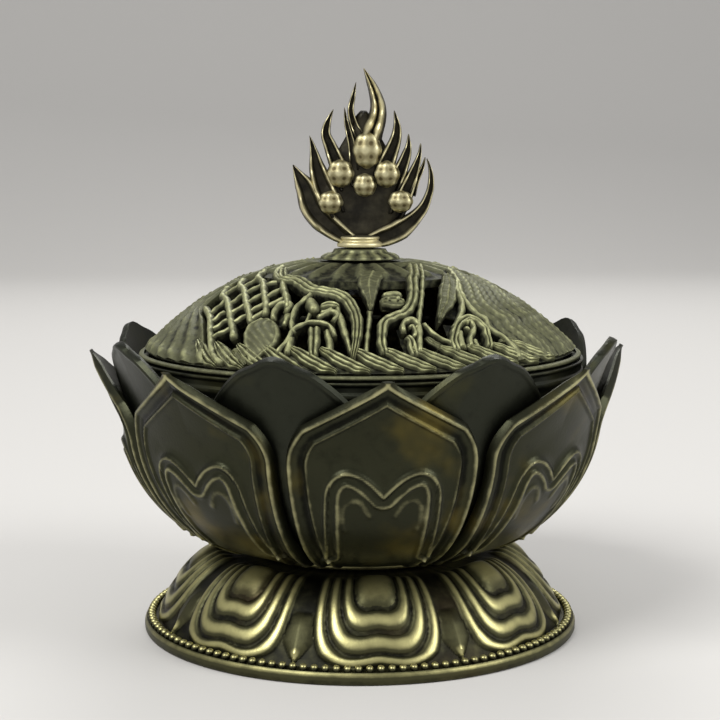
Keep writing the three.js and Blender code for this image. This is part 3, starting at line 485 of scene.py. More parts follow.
def make_piece(
    name: str, surfaces: list[Surface], finish: Finish, sharp: float = 38.0
) -> bpy.types.Object:
    """Writes surfaces into one mesh object with a finish.

    Args:
        name: The piece's name.
        surfaces: Closed bodies in millimetres.
        finish: The finish that it takes.
        sharp: Edges that turn more than this many degrees stay crisp.

    Returns:
        The linked object, at the origin, with its place in its mesh.
    """
    offsets = np.cumsum([0] + [len(s.points) for s in surfaces])
    points = np.vstack([s.points for s in surfaces]) * MM
    faces = [f + offset for s, offset in zip(surfaces, offsets) for f in s.faces]
    totals = np.concatenate([np.full(len(f), f.shape[1]) for f in faces])
    corners = np.concatenate([f.ravel() for f in faces])
    mesh = bpy.data.meshes.new(name)
    mesh.vertices.add(len(points))
    mesh.vertices.foreach_set("co", points.ravel())
    mesh.loops.add(len(corners))
    mesh.loops.foreach_set("vertex_index", corners.astype(np.int32))
    mesh.polygons.add(len(totals))
    mesh.polygons.foreach_set("loop_start", np.r_[0, np.cumsum(totals)[:-1]].astype(np.int32))
    mesh.update(calc_edges=True)
    mesh.polygons.foreach_set("use_smooth", np.ones(len(totals), bool))
    worn = mesh.attributes.new("wear_and_highlight", "FLOAT", "POINT")
    worn.data.foreach_set("value", np.concatenate([s.wear_and_highlight for s in surfaces]).astype(np.float32))
    mesh.set_sharp_from_angle(angle=float(np.radians(sharp)))
    mesh.materials.append(finish.value.material())
    piece = bpy.data.objects.new(name, mesh)
    bpy.context.scene.collection.objects.link(piece)
    return piece


def dress(piece: bpy.types.Object, body: str, slot: str, *nodes: str) -> None:
    """Rides a piece on a body, hides the CAD nodes that it stands for and says which they are.

    Args:
        piece: The finished piece.
        body: The CAD body that carries it.
        slot: The record's material slot; not used.
        *nodes: CAD nodes that it replaces.
    """
    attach(piece, body)
    if nodes:
        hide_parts(*nodes)
    count, replaced = len(piece.data.polygons), list(nodes) or "nothing"
    log.info("%s on %s: %d faces, replaces %s", piece.name, body, count, replaced)


# Bowl


@dataclass
class BowlOutline:
    """An outline that petals and cup follow: a curve from bottom to belly to petal tips."""

    bottom_radius: float = 19.5
    bottom_height: float = 15.3
    bottom_reach: float = 12.7
    belly_radius: float = 41.6
    belly_height: float = 35.2
    belly_lean: float = 9.6
    belly_reach_down: float = 8.4
    belly_reach_up: float = 5.3
    tip_radius: float = 47.0
    tip_height: float = 49.0
    tip_flare: float = 31.0
    tip_reach: float = 5.0

    def line(self, stations: np.ndarray) -> np.ndarray:
        """Radius and height at stations: 0 to 1 is bottom to belly, 1 to 2 is belly to tips.

        Args:
            stations: Values from 0 to 2.

        Returns:
            (n, 2) points on two cubic Bezier curves that meet smoothly at the belly.
        """
        lean = np.array([np.sin(np.radians(self.belly_lean)), np.cos(np.radians(self.belly_lean))])
        flare = np.array([np.sin(np.radians(self.tip_flare)), np.cos(np.radians(self.tip_flare))])
        bottom = np.array([self.bottom_radius, self.bottom_height])
        belly = np.array([self.belly_radius, self.belly_height])
        tip = np.array([self.tip_radius, self.tip_height])
        out_of_bottom, into_tip = bottom + [self.bottom_reach, 0], tip - self.tip_reach * flare
        into_belly = belly - self.belly_reach_down * lean
        out_of_belly = belly + self.belly_reach_up * lean
        low = bezier(bottom, out_of_bottom, into_belly, belly, np.minimum(stations, 1))
        high = bezier(belly, out_of_belly, into_tip, tip, np.maximum(stations, 1) - 1)
        return np.where(np.asarray(stations)[:, None] <= 1, low, high)

    def inset(self, stations: np.ndarray, depth: float | np.ndarray) -> np.ndarray:
        """The outline moved inwards by depth, one value or a column of them, square to itself."""
        step = 1e-3
        low = self.line(np.clip(stations - step, 0, 2))
        high = self.line(np.clip(stations + step, 0, 2))
        along = (high - low) / np.linalg.norm(high - low, axis=1, keepdims=True)
        return self.line(stations) + depth * np.stack([-along[:, 1], along[:, 0]], 1)


@dataclass
class Petals:
    """Both rows of petals round the bowl.

    Spans are half widths in degrees. A height or depth of a form on a petal's face is relief.
    """

    outline: BowlOutline
    inner_outline: BowlOutline
    count: int = 8
    tab_radius: float = 9.0
    outer_thickness: float = 1.6
    outer_span: float = 20.8
    shoulder_span: float = 17.0
    shoulder_drop: float = 7.6
    tip_taper: float = 1.15
    upper_thinning: float = 0.4
    point_drop: float = 2.6
    point_thinning: float = 0.5
    point_flattening: float = 0.8
    back_wear: float = 0.25
    edge_bulge: float = 0.56
    roll_width: float = 1.5
    roll_height: float = 0.5
    groove_depth: float = 0.2
    ridge_inset: float = 3.1
    ridge_height: float = 0.4
    dish_depth: float = 0.3
    heart_inset: float = 1.9
    heart_height: float = 0.5
    heart_half_line: float = 0.85
    heart_half_width: float = 8.9
    heart_swell: float = 0.25
    curl_height: float = 0.3
    inner_inset: float = 1.9
    inner_thickness: float = 1.3
    inner_span: float = 19.0
    inner_drop: float = 10.5
    inner_taper: float = 0.6
    inner_edge_bulge: float = 0.5
    tip_width: float = 0.9
    heart: tuple = (
        (8.2, 19.5), (8.5, 22.5), (8.8, 26.0), (8.9, 29.0), (8.8, 31.4), (8.1, 33.2), (6.9, 34.2),
        (5.4, 34.5), (3.4, 33.8), (1.5, 32.3), (0.0, 30.7),
    )

    def outer_half(self, height: np.ndarray) -> np.ndarray:
        """Half width of an outer petal in degrees at a height.

        Formula: constant up to the belly, a parabola in to the shoulder, then a power curve that
        closes at the tip.
        """
        shoulder = self.outline.tip_height - self.shoulder_drop
        belly = self.outline.belly_height
        up = np.clip((height - belly) / (shoulder - belly), 0, 1)
        below = self.shoulder_span + (self.outer_span - self.shoulder_span) * (1 - up**2)
        left = np.clip((self.outline.tip_height - height) / self.shoulder_drop, 0, 1)
        return np.where(height < shoulder, below, self.shoulder_span * left**self.tip_taper)

    def inner_half(self, height: np.ndarray) -> np.ndarray:
        """Half width of an inner petal in degrees: a power curve that ends in an ogee tip."""
        top = self.inner_outline.inset(np.array([2.0]), self.inner_inset)[0, 1]
        left = np.clip((top - height) / self.inner_drop, 0, 1)
        ogee = 0.05 * ridge(left - 0.1, 0.12)
        return self.inner_span * np.maximum(left**self.inner_taper - ogee, 0)

    def outer_petal(self) -> Surface:
        """One outer petal at the front, with rolled edge, inner ridge and double heart line.

        Formula: the bowl outline swept round by share times half width, moved outwards by ridges
        whose height depends on the distance on the petal's face to its edge and to the heart.

        Returns:
            The closed petal.
        """
        share = np.linspace(-1, 1, 137)
        share = 0.62 * share + 0.38 * np.sin(np.pi / 2 * share)
        stations = np.r_[0.0, np.linspace(0, 1, 84), 1 + np.linspace(0, 1, 64)[1:]]
        face = self.outline.inset(stations, 0.0)
        face[0, 0] = self.tab_radius
        radius, height = face[:, :1], face[:, 1:]
        half = np.maximum(self.outer_half(height), np.degrees(self.tip_width / 2 / radius))
        angle = share[None] * half
        across = np.radians(angle) * radius
        walked = walk(face)[:, None] + 0 * across
        lift, wear_and_highlight = self.outer_relief(across, walked, height + 0 * across)
        tip = self.outline.tip_height
        point = step_up(height, tip - self.point_drop, tip)
        thick = 1 - self.upper_thinning * step_up(height, self.outline.belly_height, tip)
        thick = self.outer_thickness * thick * (1 - self.point_thinning * point)
        lift = lift * (1 - self.point_flattening * point)
        outer = self.raised(self.outline, stations, 0.0, angle, lift)
        inner = self.raised(self.outline, stations, thick, angle, 0 * lift)
        return sheet(outer, inner, wear_and_highlight, self.back_wear, self.edge_bulge)

    def raised(
        self,
        outline: BowlOutline,
        stations: np.ndarray,
        depth: float | np.ndarray,
        angle: np.ndarray,
        lift: np.ndarray,
    ) -> np.ndarray:
        """Points of a petal's face: the outline, inset by depth, moved outwards by lift."""
        line = outline.inset(stations, depth)
        line[0, 0] = self.tab_radius
        normal = outward_normals(line)
        return polar(angle, line[:, :1] + lift * normal[:, :1], line[:, 1:] + lift * normal[:, 1:])

    def outer_relief(
        self, across: np.ndarray, walked: np.ndarray, height: np.ndarray
    ) -> tuple[np.ndarray, np.ndarray]:
        """Relief height and wear on the face of an outer petal.

        Args:
            across: Distance to the right of the petal's middle line.
            walked: Distance up the petal's face.
            height: Height above the ground.

        Returns:
            Relief height in millimetres, and wear.
        """
        right = np.stack([across[:, -1], walked[:, -1]], 1)
        left = np.stack([across[:, 0], walked[:, 0]], 1)
        rim = np.vstack([left[2:], right[:1:-1]])
        edge = distance_to_line(across, walked, rim)
        heights, steps = height[:, 0], walked[:, 0]
        climb = np.array([(x, np.interp(z, heights, steps)) for x, z in self.heart])
        half_heart = through(climb, 40)
        heart = np.vstack([half_heart, (half_heart * [-1, 1])[::-1]])
        to_heart = distance_to_line(across, walked, heart)
        top = np.interp(np.abs(across), half_heart[::-1, 0], half_heart[::-1, 1])
        inside = (np.abs(across) < self.heart_half_width) & (walked < top)
        signed = np.where(inside, to_heart, -to_heart)
        on_bowl = step_up(walked, walked[2, 0], walked[2, 0] + 6)
        roll = ridge(edge - self.roll_width * 0.3, self.roll_width * 0.5)
        groove = ridge(edge - self.roll_width * 1.5, 1.0)
        inner = ridge(edge - self.ridge_inset, 0.6)
        dish = step_up(edge, self.ridge_inset + 0.4, self.ridge_inset + 6)
        dish = dish * (1 - step_up(signed, -2.0, 0.2))
        line_half = self.heart_half_line
        lines = ridge(signed - 0.1, line_half) + 0.9 * ridge(signed - self.heart_inset, line_half)
        curl = distance_to_line(np.abs(across), walked, through(self.curl_line(heights, steps), 24))
        small = ridge(curl, 0.9) * 0.6
        lift = on_bowl * (
            self.roll_height * roll - self.groove_depth * groove + self.ridge_height * inner
            - self.dish_depth * dish + self.heart_height * lines
            + self.heart_swell * step_up(signed, 0, 3) + self.curl_height * small
        )
        tip = step_up(height, 43.0, 48.0)
        wear_and_highlight = (
            0.28 + 0.46 * roll - 0.26 * groove + 0.34 * inner + 0.46 * np.minimum(lines, 1) ** 2
            + 0.3 * small + 0.14 * tip * roll + 0.12 * step_up(signed, 0.5, 3)
        )
        return lift, np.clip(0.12 + (wear_and_highlight - 0.12) * on_bowl, 0, 1)

    @staticmethod
    def curl_line(heights: np.ndarray, steps: np.ndarray) -> np.ndarray:
        """The small curl inside each lobe of the heart, as distance across and up the face."""
        spots = ((2.0, 27.4), (3.2, 29.4), (4.8, 30.0), (6.0, 28.8), (6.1, 26.8), (5.6, 24.8))
        return np.array([(x, np.interp(z, heights, steps)) for x, z in spots])

    def inner_petal(self) -> Surface:
        """One plain inner petal at the front, with a thin raised edge.

        Returns:
            The closed petal.
        """
        share = np.linspace(-1, 1, 49)
        share = 0.7 * share + 0.3 * np.sin(np.pi / 2 * share)
        stations = np.r_[0.0, np.linspace(0, 1, 24), 1 + np.linspace(0, 1, 48)[1:]]
        face = self.inner_outline.inset(stations, self.inner_inset)
        face[0, 0] = self.tab_radius
        tip_half = np.degrees(self.tip_width / 2 / face[:, :1])
        half = np.maximum(self.inner_half(face[:, 1:]), tip_half)
        angle = share[None] * half
        across = np.radians(angle) * face[:, :1]
        walked = walk(face)[:, None] + 0 * across
        left = np.stack([across[2:, 0], walked[2:, 0]], 1)
        right = np.stack([across[:1:-1, -1], walked[:1:-1, -1]], 1)
        rim = np.vstack([left, right])
        edge = distance_to_line(across, walked, rim)
        high = step_up(face[:, 1:], 36, 42)
        roll = ridge(edge - 0.45, 0.7) * high
        vein = ridge(across, 1.6) * step_up(face[:, 1:], 40, 46) * 0.4
        lift = 0.22 * roll + 0.12 * vein
        back = self.inner_inset + self.inner_thickness
        outer = self.raised(self.inner_outline, stations, self.inner_inset, angle, lift)
        inner = self.raised(self.inner_outline, stations, back, angle, 0 * lift)
        wear_and_highlight = np.clip(0.28 + 0.2 * roll + 0.08 * vein, 0, 1)
        return sheet(outer, inner, wear_and_highlight, self.back_wear, self.inner_edge_bulge)

    def build(self) -> None:
        """Makes the sixteen petals, each in its node's place."""
        pitch = FULL_TURN / self.count
        outer, inner = self.outer_petal(), self.inner_petal()
        for i in range(self.count):
            name = f"outer_petal_{i + 1}"
            piece = make_piece(f"cast_{name}", [outer.moved(i * pitch)], Finish.BOWL)
            dress(piece, "base", "bowl_brass", name)
            name = f"inner_petal_{i + 1}"
            piece = make_piece(f"cast_{name}", [inner.moved((i + 0.5) * pitch)], Finish.INNER_PETAL)
            dress(piece, "base", "inner_petal_brass", name)


@dataclass
class Cup:
    """The vessel inside the petals, whose rim band shows under the lid."""

    outline: BowlOutline
    inset: float = 3.5
    wall: float = 2.0
    boss_radius: float = 8.4
    bore: float = 2.9
    rim_radius: float = 38.9
    rim_wall: float = 1.8
    rim_height: float = 47.9
    rim_band: float = 2.6

    def build(self) -> None:
        """Turns the cup: boss, bowl, a rim band with two fine beads, and a hollow inside."""
        stations = np.linspace(0, 1, 28)
        outside = self.outline.inset(stations, self.inset)
        inside = self.outline.inset(stations, self.inset + self.wall)[::-1]
        rim_inner = self.rim_radius - self.rim_wall
        band = self.rim_height - self.rim_band
        rim = rounded(
            [
                outside[-1], (self.rim_radius - 0.5, band - 0.8), (self.rim_radius, band),
                (self.rim_radius, band + 0.7), (self.rim_radius - 0.3, band + 0.95),
                (self.rim_radius - 0.3, self.rim_height - 0.7),
                (self.rim_radius, self.rim_height - 0.5), (self.rim_radius, self.rim_height),
                (rim_inner, self.rim_height), (rim_inner, band), inside[0],
            ],
            0.25,
        )
        bottom = self.outline.bottom_height
        boss = rounded(
            [
                (self.bore, bottom), (self.boss_radius, bottom),
                (self.boss_radius, outside[0, 1]), outside[0],
            ],
            0.3,
        )
        floor = np.array([(self.bore, inside[-1, 1])])
        line = np.vstack([boss, outside[1:-1], rim, inside[1:], floor])
        height = line[:, 1]
        edges = ridge(height - self.rim_height + 0.2, 0.6) + ridge(height - band - 0.35, 0.5)
        wear_and_highlight = 0.3 + 0.3 * np.clip(edges, 0, 1) * (line[:, 0] > rim_inner + 0.3)
        body = revolved(line, 256, wear_and_highlight=wear_and_highlight[:, None])
        dress(make_piece("cup_casting", [body], Finish.INNER_PETAL), "base", "bowl_brass", "cup")


# Foot


@dataclass
class Foot:
    """The hollow cast foot: a beaded flange and eight upturned lotus petals in nested relief."""

    radius: float = 38.2
    flange_height: float = 2.0
    stand_width: float = 3.2
    wall: float = 2.6
    bead_count: int = 132
    bead_circle: float = 36.95
    bead_size: float = 1.5
    petal_inset: float = 2.7
    lip_slope: float = 57.0
    lip_reach: float = 6.2
    crown_radius: float = 21.0
    crown_height: float = 13.6
    crown_reach: float = 7.5
    bore: float = 2.9
    petals: int = 8
    petal_span: float = 18.9
    wave_width: float = 3.5
    shoulder_angle: float = 8.5
    squareness: float = 3.6
    steps: tuple = (0.95, 0.7, 0.42, 0.12, 0.0)
    moulding_height: float = 0.45
    boss_height: float = 0.9
    leaf_half: float = 4.3
    leaf_height: float = 0.75
    rings: tuple = ((0.0, 1.0), (2.1, 0.79), (5.7, 0.56), (9.6, 0.35), (14.5, 0.06), (17.0, 0.0))
    levels: tuple = (1.0, 0.79, 0.56, 0.35)

    def slope(self, share: np.ndarray) -> np.ndarray:
        """Radius and height up the foot's slope, from the petals' lips to the crown."""
        lip = np.array([self.radius - self.petal_inset, self.flange_height])
        crown = np.array([self.crown_radius, self.crown_height])
        lean = np.radians(self.lip_slope)
        out_of_lip = lip + self.lip_reach * np.array([-np.cos(lean), np.sin(lean)])
        return bezier(lip, out_of_lip, crown + [self.crown_reach, 0], crown, share)

    def nested(self, angle: np.ndarray, walked: np.ndarray) -> np.ndarray:
        """A value that is 1 on a petal's outline and falls to 0 in its middle.

        Formula: a superellipse of the angle, as a share of the petal's half width, and of the
        distance up from the lip, turned to a share through the rings' spacing. The lip dips in the
        middle and swells beside it.
        """
        dip = np.exp(-((angle / self.wave_width) ** 2))
        shoulders = np.exp(-(((np.abs(angle) - self.shoulder_angle) / self.wave_width) ** 2))
        notch = 0.45 * dip - 0.25 * shoulders
        spots, shares = np.array(self.rings).T
        up = np.interp(walked - notch, spots, shares, left=1.3)
        up = np.where(walked - notch < 0, 1 - (walked - notch) * 0.12, up)
        side = np.abs(angle) / self.petal_span
        return (side**self.squareness + np.abs(up) ** self.squareness) ** (1 / self.squareness)

    def relief(
        self, angle: np.ndarray, walked: np.ndarray, total: float
    ) -> tuple[np.ndarray, np.ndarray]:
        """Relief height and rubbing on the slope, with painted highlights on the leaf tips and
        bosses.

        Formula: each nested ring is a half-round moulding: the square root of one minus the square
        of the place across it. The mouldings step up towards the boss.

        Args:
            angle: Degrees from the nearest petal's middle.
            walked: Distance up the slope from the lips.
            total: Length of the slope.

        Returns:
            Relief height in millimetres, and rubbing with painted highlights on leaf tips and
            bosses.
        """
        value = self.nested(angle, walked)
        lift = np.interp(value, (*self.levels[::-1], 1.06), self.steps)
        wear_and_highlight = np.full_like(value, 0.08)
        bounds = (*self.levels, 0.0)
        for high, low in zip(bounds[:-1], bounds[1:]):
            if low == 0.0:
                dome = np.sqrt(np.clip(1 - (value / high) ** 2, 0, 1))
                lift = lift + self.boss_height * dome
                # The boss's top is partly rubbed bright and partly a painted highlight that
                # brightens the dome.
                wear_and_highlight = np.where(value < high, 0.3 + 0.7 * dome**1.5, wear_and_highlight)
                continue
            place = (high - value) / (high - low)
            inside = (place >= 0) & (place < 1)
            bulge = np.sqrt(np.clip(1 - ((place - 0.4) / 0.4) ** 2, 0, 1)) * inside
            lift = lift + self.moulding_height * bulge
            wear_and_highlight = np.where(inside, 0.1 + 0.78 * bulge**2.2, wear_and_highlight)
        leaf_angle = np.abs(angle) - FULL_TURN / self.petals / 2
        leaf_half = self.leaf_half * np.clip((walked - 0.3) / 3.6, 0, 1)
        leaf = np.clip(1 - np.abs(leaf_angle) / np.maximum(leaf_half, 1e-3), 0, 1)
        leaf = leaf * (1 - step_up(walked, 6.0, 9.0))
        lift = np.maximum(lift, self.leaf_height * np.sqrt(leaf) * (value > 1.02))
        # Painted highlight: each small leaf between the petals is brightened towards its lower tip,
        # a glint painted into the colour.
        tip = 1 - step_up(walked, 1.2, 3.6)
        wear_and_highlight = np.where((value > 1.02) & (leaf > 0), 0.12 + leaf**0.5 * (0.15 + 0.85 * tip), wear_and_highlight)
        fade = 1 - step_up(walked, total - 4.5, total - 1.5)
        return lift * fade, 0.1 + (wear_and_highlight - 0.1) * (0.3 + 0.7 * fade)

    def build(self) -> None:
        """Makes the foot casting and its ring of beads."""
        share = np.linspace(0, 1, 90)
        slope = self.slope(share)
        walked = walk(slope)
        stand = self.radius - self.stand_width
        under = self.crown_height - self.wall
        edge = self.bead_circle + self.bead_size / 2
        bead_floor = self.flange_height - 0.1
        flange = rounded(
            [
                (stand, 0.0), (self.radius - 0.3, 0.0), (self.radius, 0.3),
                (self.radius, self.flange_height - 0.5),
                (self.radius - 0.45, self.flange_height + 0.15), (edge + 0.1, bead_floor),
                (self.bead_circle - self.bead_size / 2, bead_floor), tuple(slope[0]),
            ],
            0.4,
            3,
        )
        crown = np.array([(self.bore, self.crown_height), (self.bore, under)])
        inwards = np.linspace(1, 0, 8)
        hollow = self.slope(np.linspace(1, 0.02, 8))
        hollow = hollow - self.wall * np.stack([1 - 0.8 * inwards, 0.35 + 0.65 * inwards], 1)
        line = np.vstack([flange[:-1], slope, crown, hollow])
        columns = 784
        angle = np.arange(columns) * FULL_TURN / columns
        half_pitch = FULL_TURN / self.petals / 2
        angle = (angle + half_pitch) % (2 * half_pitch) - half_pitch
        lift = np.zeros((len(line), columns))
        wear_and_highlight = np.full((len(line), columns), 0.2)
        rows = slice(len(flange) - 1, len(flange) - 1 + len(slope))
        spots = np.broadcast_arrays(angle[None], walked[:, None])
        lift[rows], wear_and_highlight[rows] = self.relief(*spots, walked[-1])
        rim = ridge(line[:, 1] - self.flange_height + 0.3, 0.9) * (line[:, 0] > edge)
        wear_and_highlight += 0.5 * rim[:, None]
        body = revolved(line, columns, lift, wear_and_highlight)
        dress(make_piece("foot_casting", [body], Finish.FOOT), "base", "foot_brass", "foot")
        dress(make_piece("foot_beads", self.beads(), Finish.FOOT), "base", "foot_brass")

    def beads(self) -> list[Surface]:
        """The ring of beads, each a squashed ball sunk in the flange.

        Returns:
            One closed ball for each bead.
        """
        half = self.bead_size / 2
        sweep = np.radians(np.linspace(-90, 90, 9))
        line = np.stack([0.43 * self.bead_size * np.cos(sweep), 0.9 * half * np.sin(sweep)], 1)
        line[[0, -1], 0] = 0
        ball = revolved(line, 12, wear_and_highlight=(0.15 + 0.85 * np.clip(np.sin(sweep) * 1.4, 0, 1))[:, None])
        turns = np.arange(self.bead_count) * FULL_TURN / self.bead_count
        ball.points[:, 1] *= 1.18
        ball.points += [0, -self.bead_circle, self.flange_height + 0.35]
        return [ball.moved(turn) for turn in turns]


@dataclass
class NeckCollar:
    """The ring between foot and bowl."""

    radius: float = 20.0
    bottom: float = 13.9
    thickness: float = 1.1
    bore: float = 2.9

    def build(self) -> None:
        """Turns the collar with a rounded edge."""
        top = self.bottom + self.thickness
        line = rounded(
            [
                (self.bore, self.bottom), (self.radius, self.bottom), (self.radius, top),
                (self.bore, top), (self.bore, self.bottom + 0.2),
            ],
            0.45,
        )
        wear_and_highlight = (0.3 + 0.5 * (line[:, 0] > self.radius - 0.5))[:, None]
        piece = make_piece("collar_ring", [revolved(line, 160, wear_and_highlight=wear_and_highlight)], Finish.FOOT)
        dress(piece, "base", "foot_brass", "neck_collar")


# Strokes: cast bars, leaves and tongues that follow a line


class Section(Enum):
    """What the top of a stroke looks like from edge to edge."""

    ROUND = "round"
    TWO_RIBS = "two ribs"
    THREE_RIBS = "three ribs"
    LEAF = "leaf"
    HOLLOW = "hollow"


POINTS_ACROSS = {
    Section.ROUND: 11,
    Section.TWO_RIBS: 17,
    Section.THREE_RIBS: 25,
    Section.LEAF: 21,
    Section.HOLLOW: 17,
}


def section_height(section: Section, across: np.ndarray, along: np.ndarray) -> np.ndarray:
    """Height of a stroke's top as a share of its rise.

    Formula: the 0.8th power of a parabola, 1 - u^2; or a flat-topped dome, 1 - u^4, to a power,
    times ribs from the cosine of the place across, a gutter between two rims, or a leaf with a
    rim, a midrib and slanting veins.

    Args:
        section: The kind of top.
        across: Place from -1 at one edge to 1 at the other.
        along: Millimetres along the stroke.

    Returns:
        Shares from 0 to 1, broadcast over both places.
    """
    across, along = np.broadcast_arrays(across, along)
    flat = 1 - across**4
    if section is Section.ROUND:
        return np.clip(1 - across**2, 0, 1) ** 0.8
    if section in (Section.TWO_RIBS, Section.THREE_RIBS):
        count = 2 if section is Section.TWO_RIBS else 3
        rib = np.abs(np.cos(np.pi * (count * across / 2 + (count - 1) / 2)))
        return flat**0.7 * (0.35 + 0.65 * rib**0.9)
    if section is Section.HOLLOW:
        return np.clip(0.12 + 0.95 * ridge(np.abs(across) - 0.74, 0.4), 0, 1) * flat**0.35
    rim = ridge(np.abs(across) - 0.8, 0.22)
    vein = ridge(across, 0.16)
    slant = 0.5 + 0.5 * np.cos(2 * np.pi * (along - 1.2 * np.abs(across)) / 1.1)
    veins = 0.2 * slant * (1 - rim) * (1 - vein)
    return flat**0.5 * np.clip(0.45 + 0.5 * rim + 0.5 * vein + veins, 0, 1)


@dataclass(frozen=True)
class Stroke:
    """A cast bar along a line of points, in the coordinates of what carries it.

    Attributes:
        line: Points of the middle line.
        widths: Full widths in millimetres at even steps along the line.
        section: What its top looks like.
        lift: How far it stands above the surface that carries it.
        rise: Height of its moulded top. A bar without any is a dark ground behind the others.
    """

    line: tuple
    widths: tuple
    section: Section = Section.ROUND
    lift: float = 0.0
    rise: float = 0.6


def swept(
    centre: np.ndarray, up: np.ndarray, stroke: Stroke, depth: float, both: bool = False
) -> Surface:
    """A closed bar along a line in space.

    Formula: at each point a loop of the section's top and a narrower foot is set square to the
    line; the rise fades in a quarter circle at both ends. Two sines along the line make the rise a
    little uneven, as hand-modelled metal is, and the width too where only the top is moulded.

    Args:
        centre: (n, 3) points along the line.
        up: (n, 3) unit vectors away from the surface that carries the bar.
        stroke: Widths, section, lift and rise.
        depth: How far its foot reaches below the line.
        both: Whether its underside is moulded like its top.

    Returns:
        The closed bar.
    """
    count = len(centre)
    along = np.gradient(centre, axis=0)
    along /= np.linalg.norm(along, axis=1, keepdims=True)
    side = np.cross(along, up)
    side /= np.linalg.norm(side, axis=1, keepdims=True)
    walked = walk(centre)
    stations = np.linspace(0, 1, len(stroke.widths))
    half = 0.5 * np.interp(np.linspace(0, 1, count), stations, stroke.widths)
    uneven = np.sin(1.9 * walked + 40 * centre[0, 0]) + np.sin(3.1 * walked + 23 * centre[0, 1])
    half = half + (0 if both else 0.045) * uneven * np.minimum(1, half / 0.3)
    spread = np.linspace(-0.5, 0.5, POINTS_ACROSS[stroke.section])
    u = np.sin(spread * np.pi * 0.86) / np.sin(0.43 * np.pi)
    to_end = np.minimum(walked, walked[-1] - walked)
    end = np.sqrt(np.clip(1 - (1 - np.clip(to_end / 0.5, 0, 1)) ** 2, 0, 1))[:, None]
    share = section_height(stroke.section, u[None], walked[:, None])
    rise = stroke.rise * share * (0.25 + 0.75 * end) * (1 + 0.07 * uneven[::-1, None])
    top = stroke.lift + rise
    wear_and_highlight = 0.82 * min(1, stroke.rise / 0.4) * share**1.4 * (0.5 + 0.5 * end)
    wear_and_highlight = 0.08 + wear_and_highlight * (1 + 0.1 * uneven[:, None])
    if both:
        across = np.r_[u, u[::-1]]
        height = np.concatenate([top, -top[:, ::-1]], axis=1)
        worn = np.concatenate([wear_and_highlight, wear_and_highlight[:, ::-1]], axis=1)
    else:
        across = np.r_[u, 0.82, -0.82]
        foot = np.full((count, 2), -depth)
        height = np.concatenate([top, foot], axis=1)
        worn = np.concatenate([wear_and_highlight, np.full((count, 2), 0.05)], axis=1)
    sideways = side[:, None] * (half[:, None] * across[None])[..., None]
    points = centre[:, None] + sideways + up[:, None] * height[..., None]
    around = len(across)
    middles = points[[0, -1]].mean(axis=1)
    ring = np.arange(around)
    beside = (ring + 1) % around
    middle, below = count * around, (count - 1) * around
    faces = [
        grid_faces(count, around, False, True),
        np.stack([np.full(around, middle), beside, ring], 1),
        np.stack([np.full(around, middle + 1), below + ring, below + beside], 1),
    ]
    points = np.vstack([points.reshape(-1, 3), middles])
    return Surface(points, faces, np.r_[worn.ravel(), 0.4, 0.4])


# Lid


@dataclass
class Dome:
    """The lid's dome: height falls from the crown with a power of the radius."""

    radius: float = 37.0
    spring: float = 49.0
    rise: float = 15.3
    power: float = 2.5

    def height(self, share: np.ndarray) -> np.ndarray:
        """Height of the dome at a share of its radius."""
        return self.spring + self.rise * (1 - np.abs(share) ** self.power)

    def point(self, angle: np.ndarray, share: np.ndarray) -> np.ndarray:
        """Points on the dome from degrees round it and shares of its radius."""
        return polar(angle, share * self.radius, self.height(share))

    def normal(self, angle: np.ndarray, share: np.ndarray) -> np.ndarray:
        """Unit vectors square to the dome."""
        slope = self.rise * self.power * np.abs(share) ** (self.power - 1) / self.radius
        steep = 1 / np.hypot(1, slope)
        return polar(angle, slope * steep, steep)


@dataclass(frozen=True)
class Patch:
    """Where the points of a plate lie.

    Attributes:
        row: Shares along the plate.
        column: Shares across it.
        along: Millimetres along it.
        across: Millimetres from its left side.
        width: Its width at each row.
    """

    row: np.ndarray
    column: np.ndarray
    along: np.ndarray
    across: np.ndarray
    width: np.ndarray


Relief = tuple[np.ndarray, np.ndarray]
R3, R2, RD, LF = Section.THREE_RIBS, Section.TWO_RIBS, Section.ROUND, Section.LEAF


def to_plan(line: tuple) -> np.ndarray:
    """Points on the lid's plan from degrees round it and shares of its radius."""
    return np.array(
        [(share * np.sin(np.radians(a)), share * np.cos(np.radians(a))) for a, share in line]
    )


def from_plan(spots: np.ndarray) -> tuple[np.ndarray, np.ndarray]:
    """Degrees round the lid and shares of its radius from points on its plan."""
    x, y = spots[:, 0], spots[:, 1]
    return np.degrees(np.arctan2(x, y)), np.hypot(x, y)


def bars(lines: tuple, width: float, lift: float, rise: float = 0.5) -> tuple[Stroke, ...]:
    """Plain round bars of one width along several lines."""
    return tuple(Stroke(line, (width, width), RD, lift, rise) for line in lines)


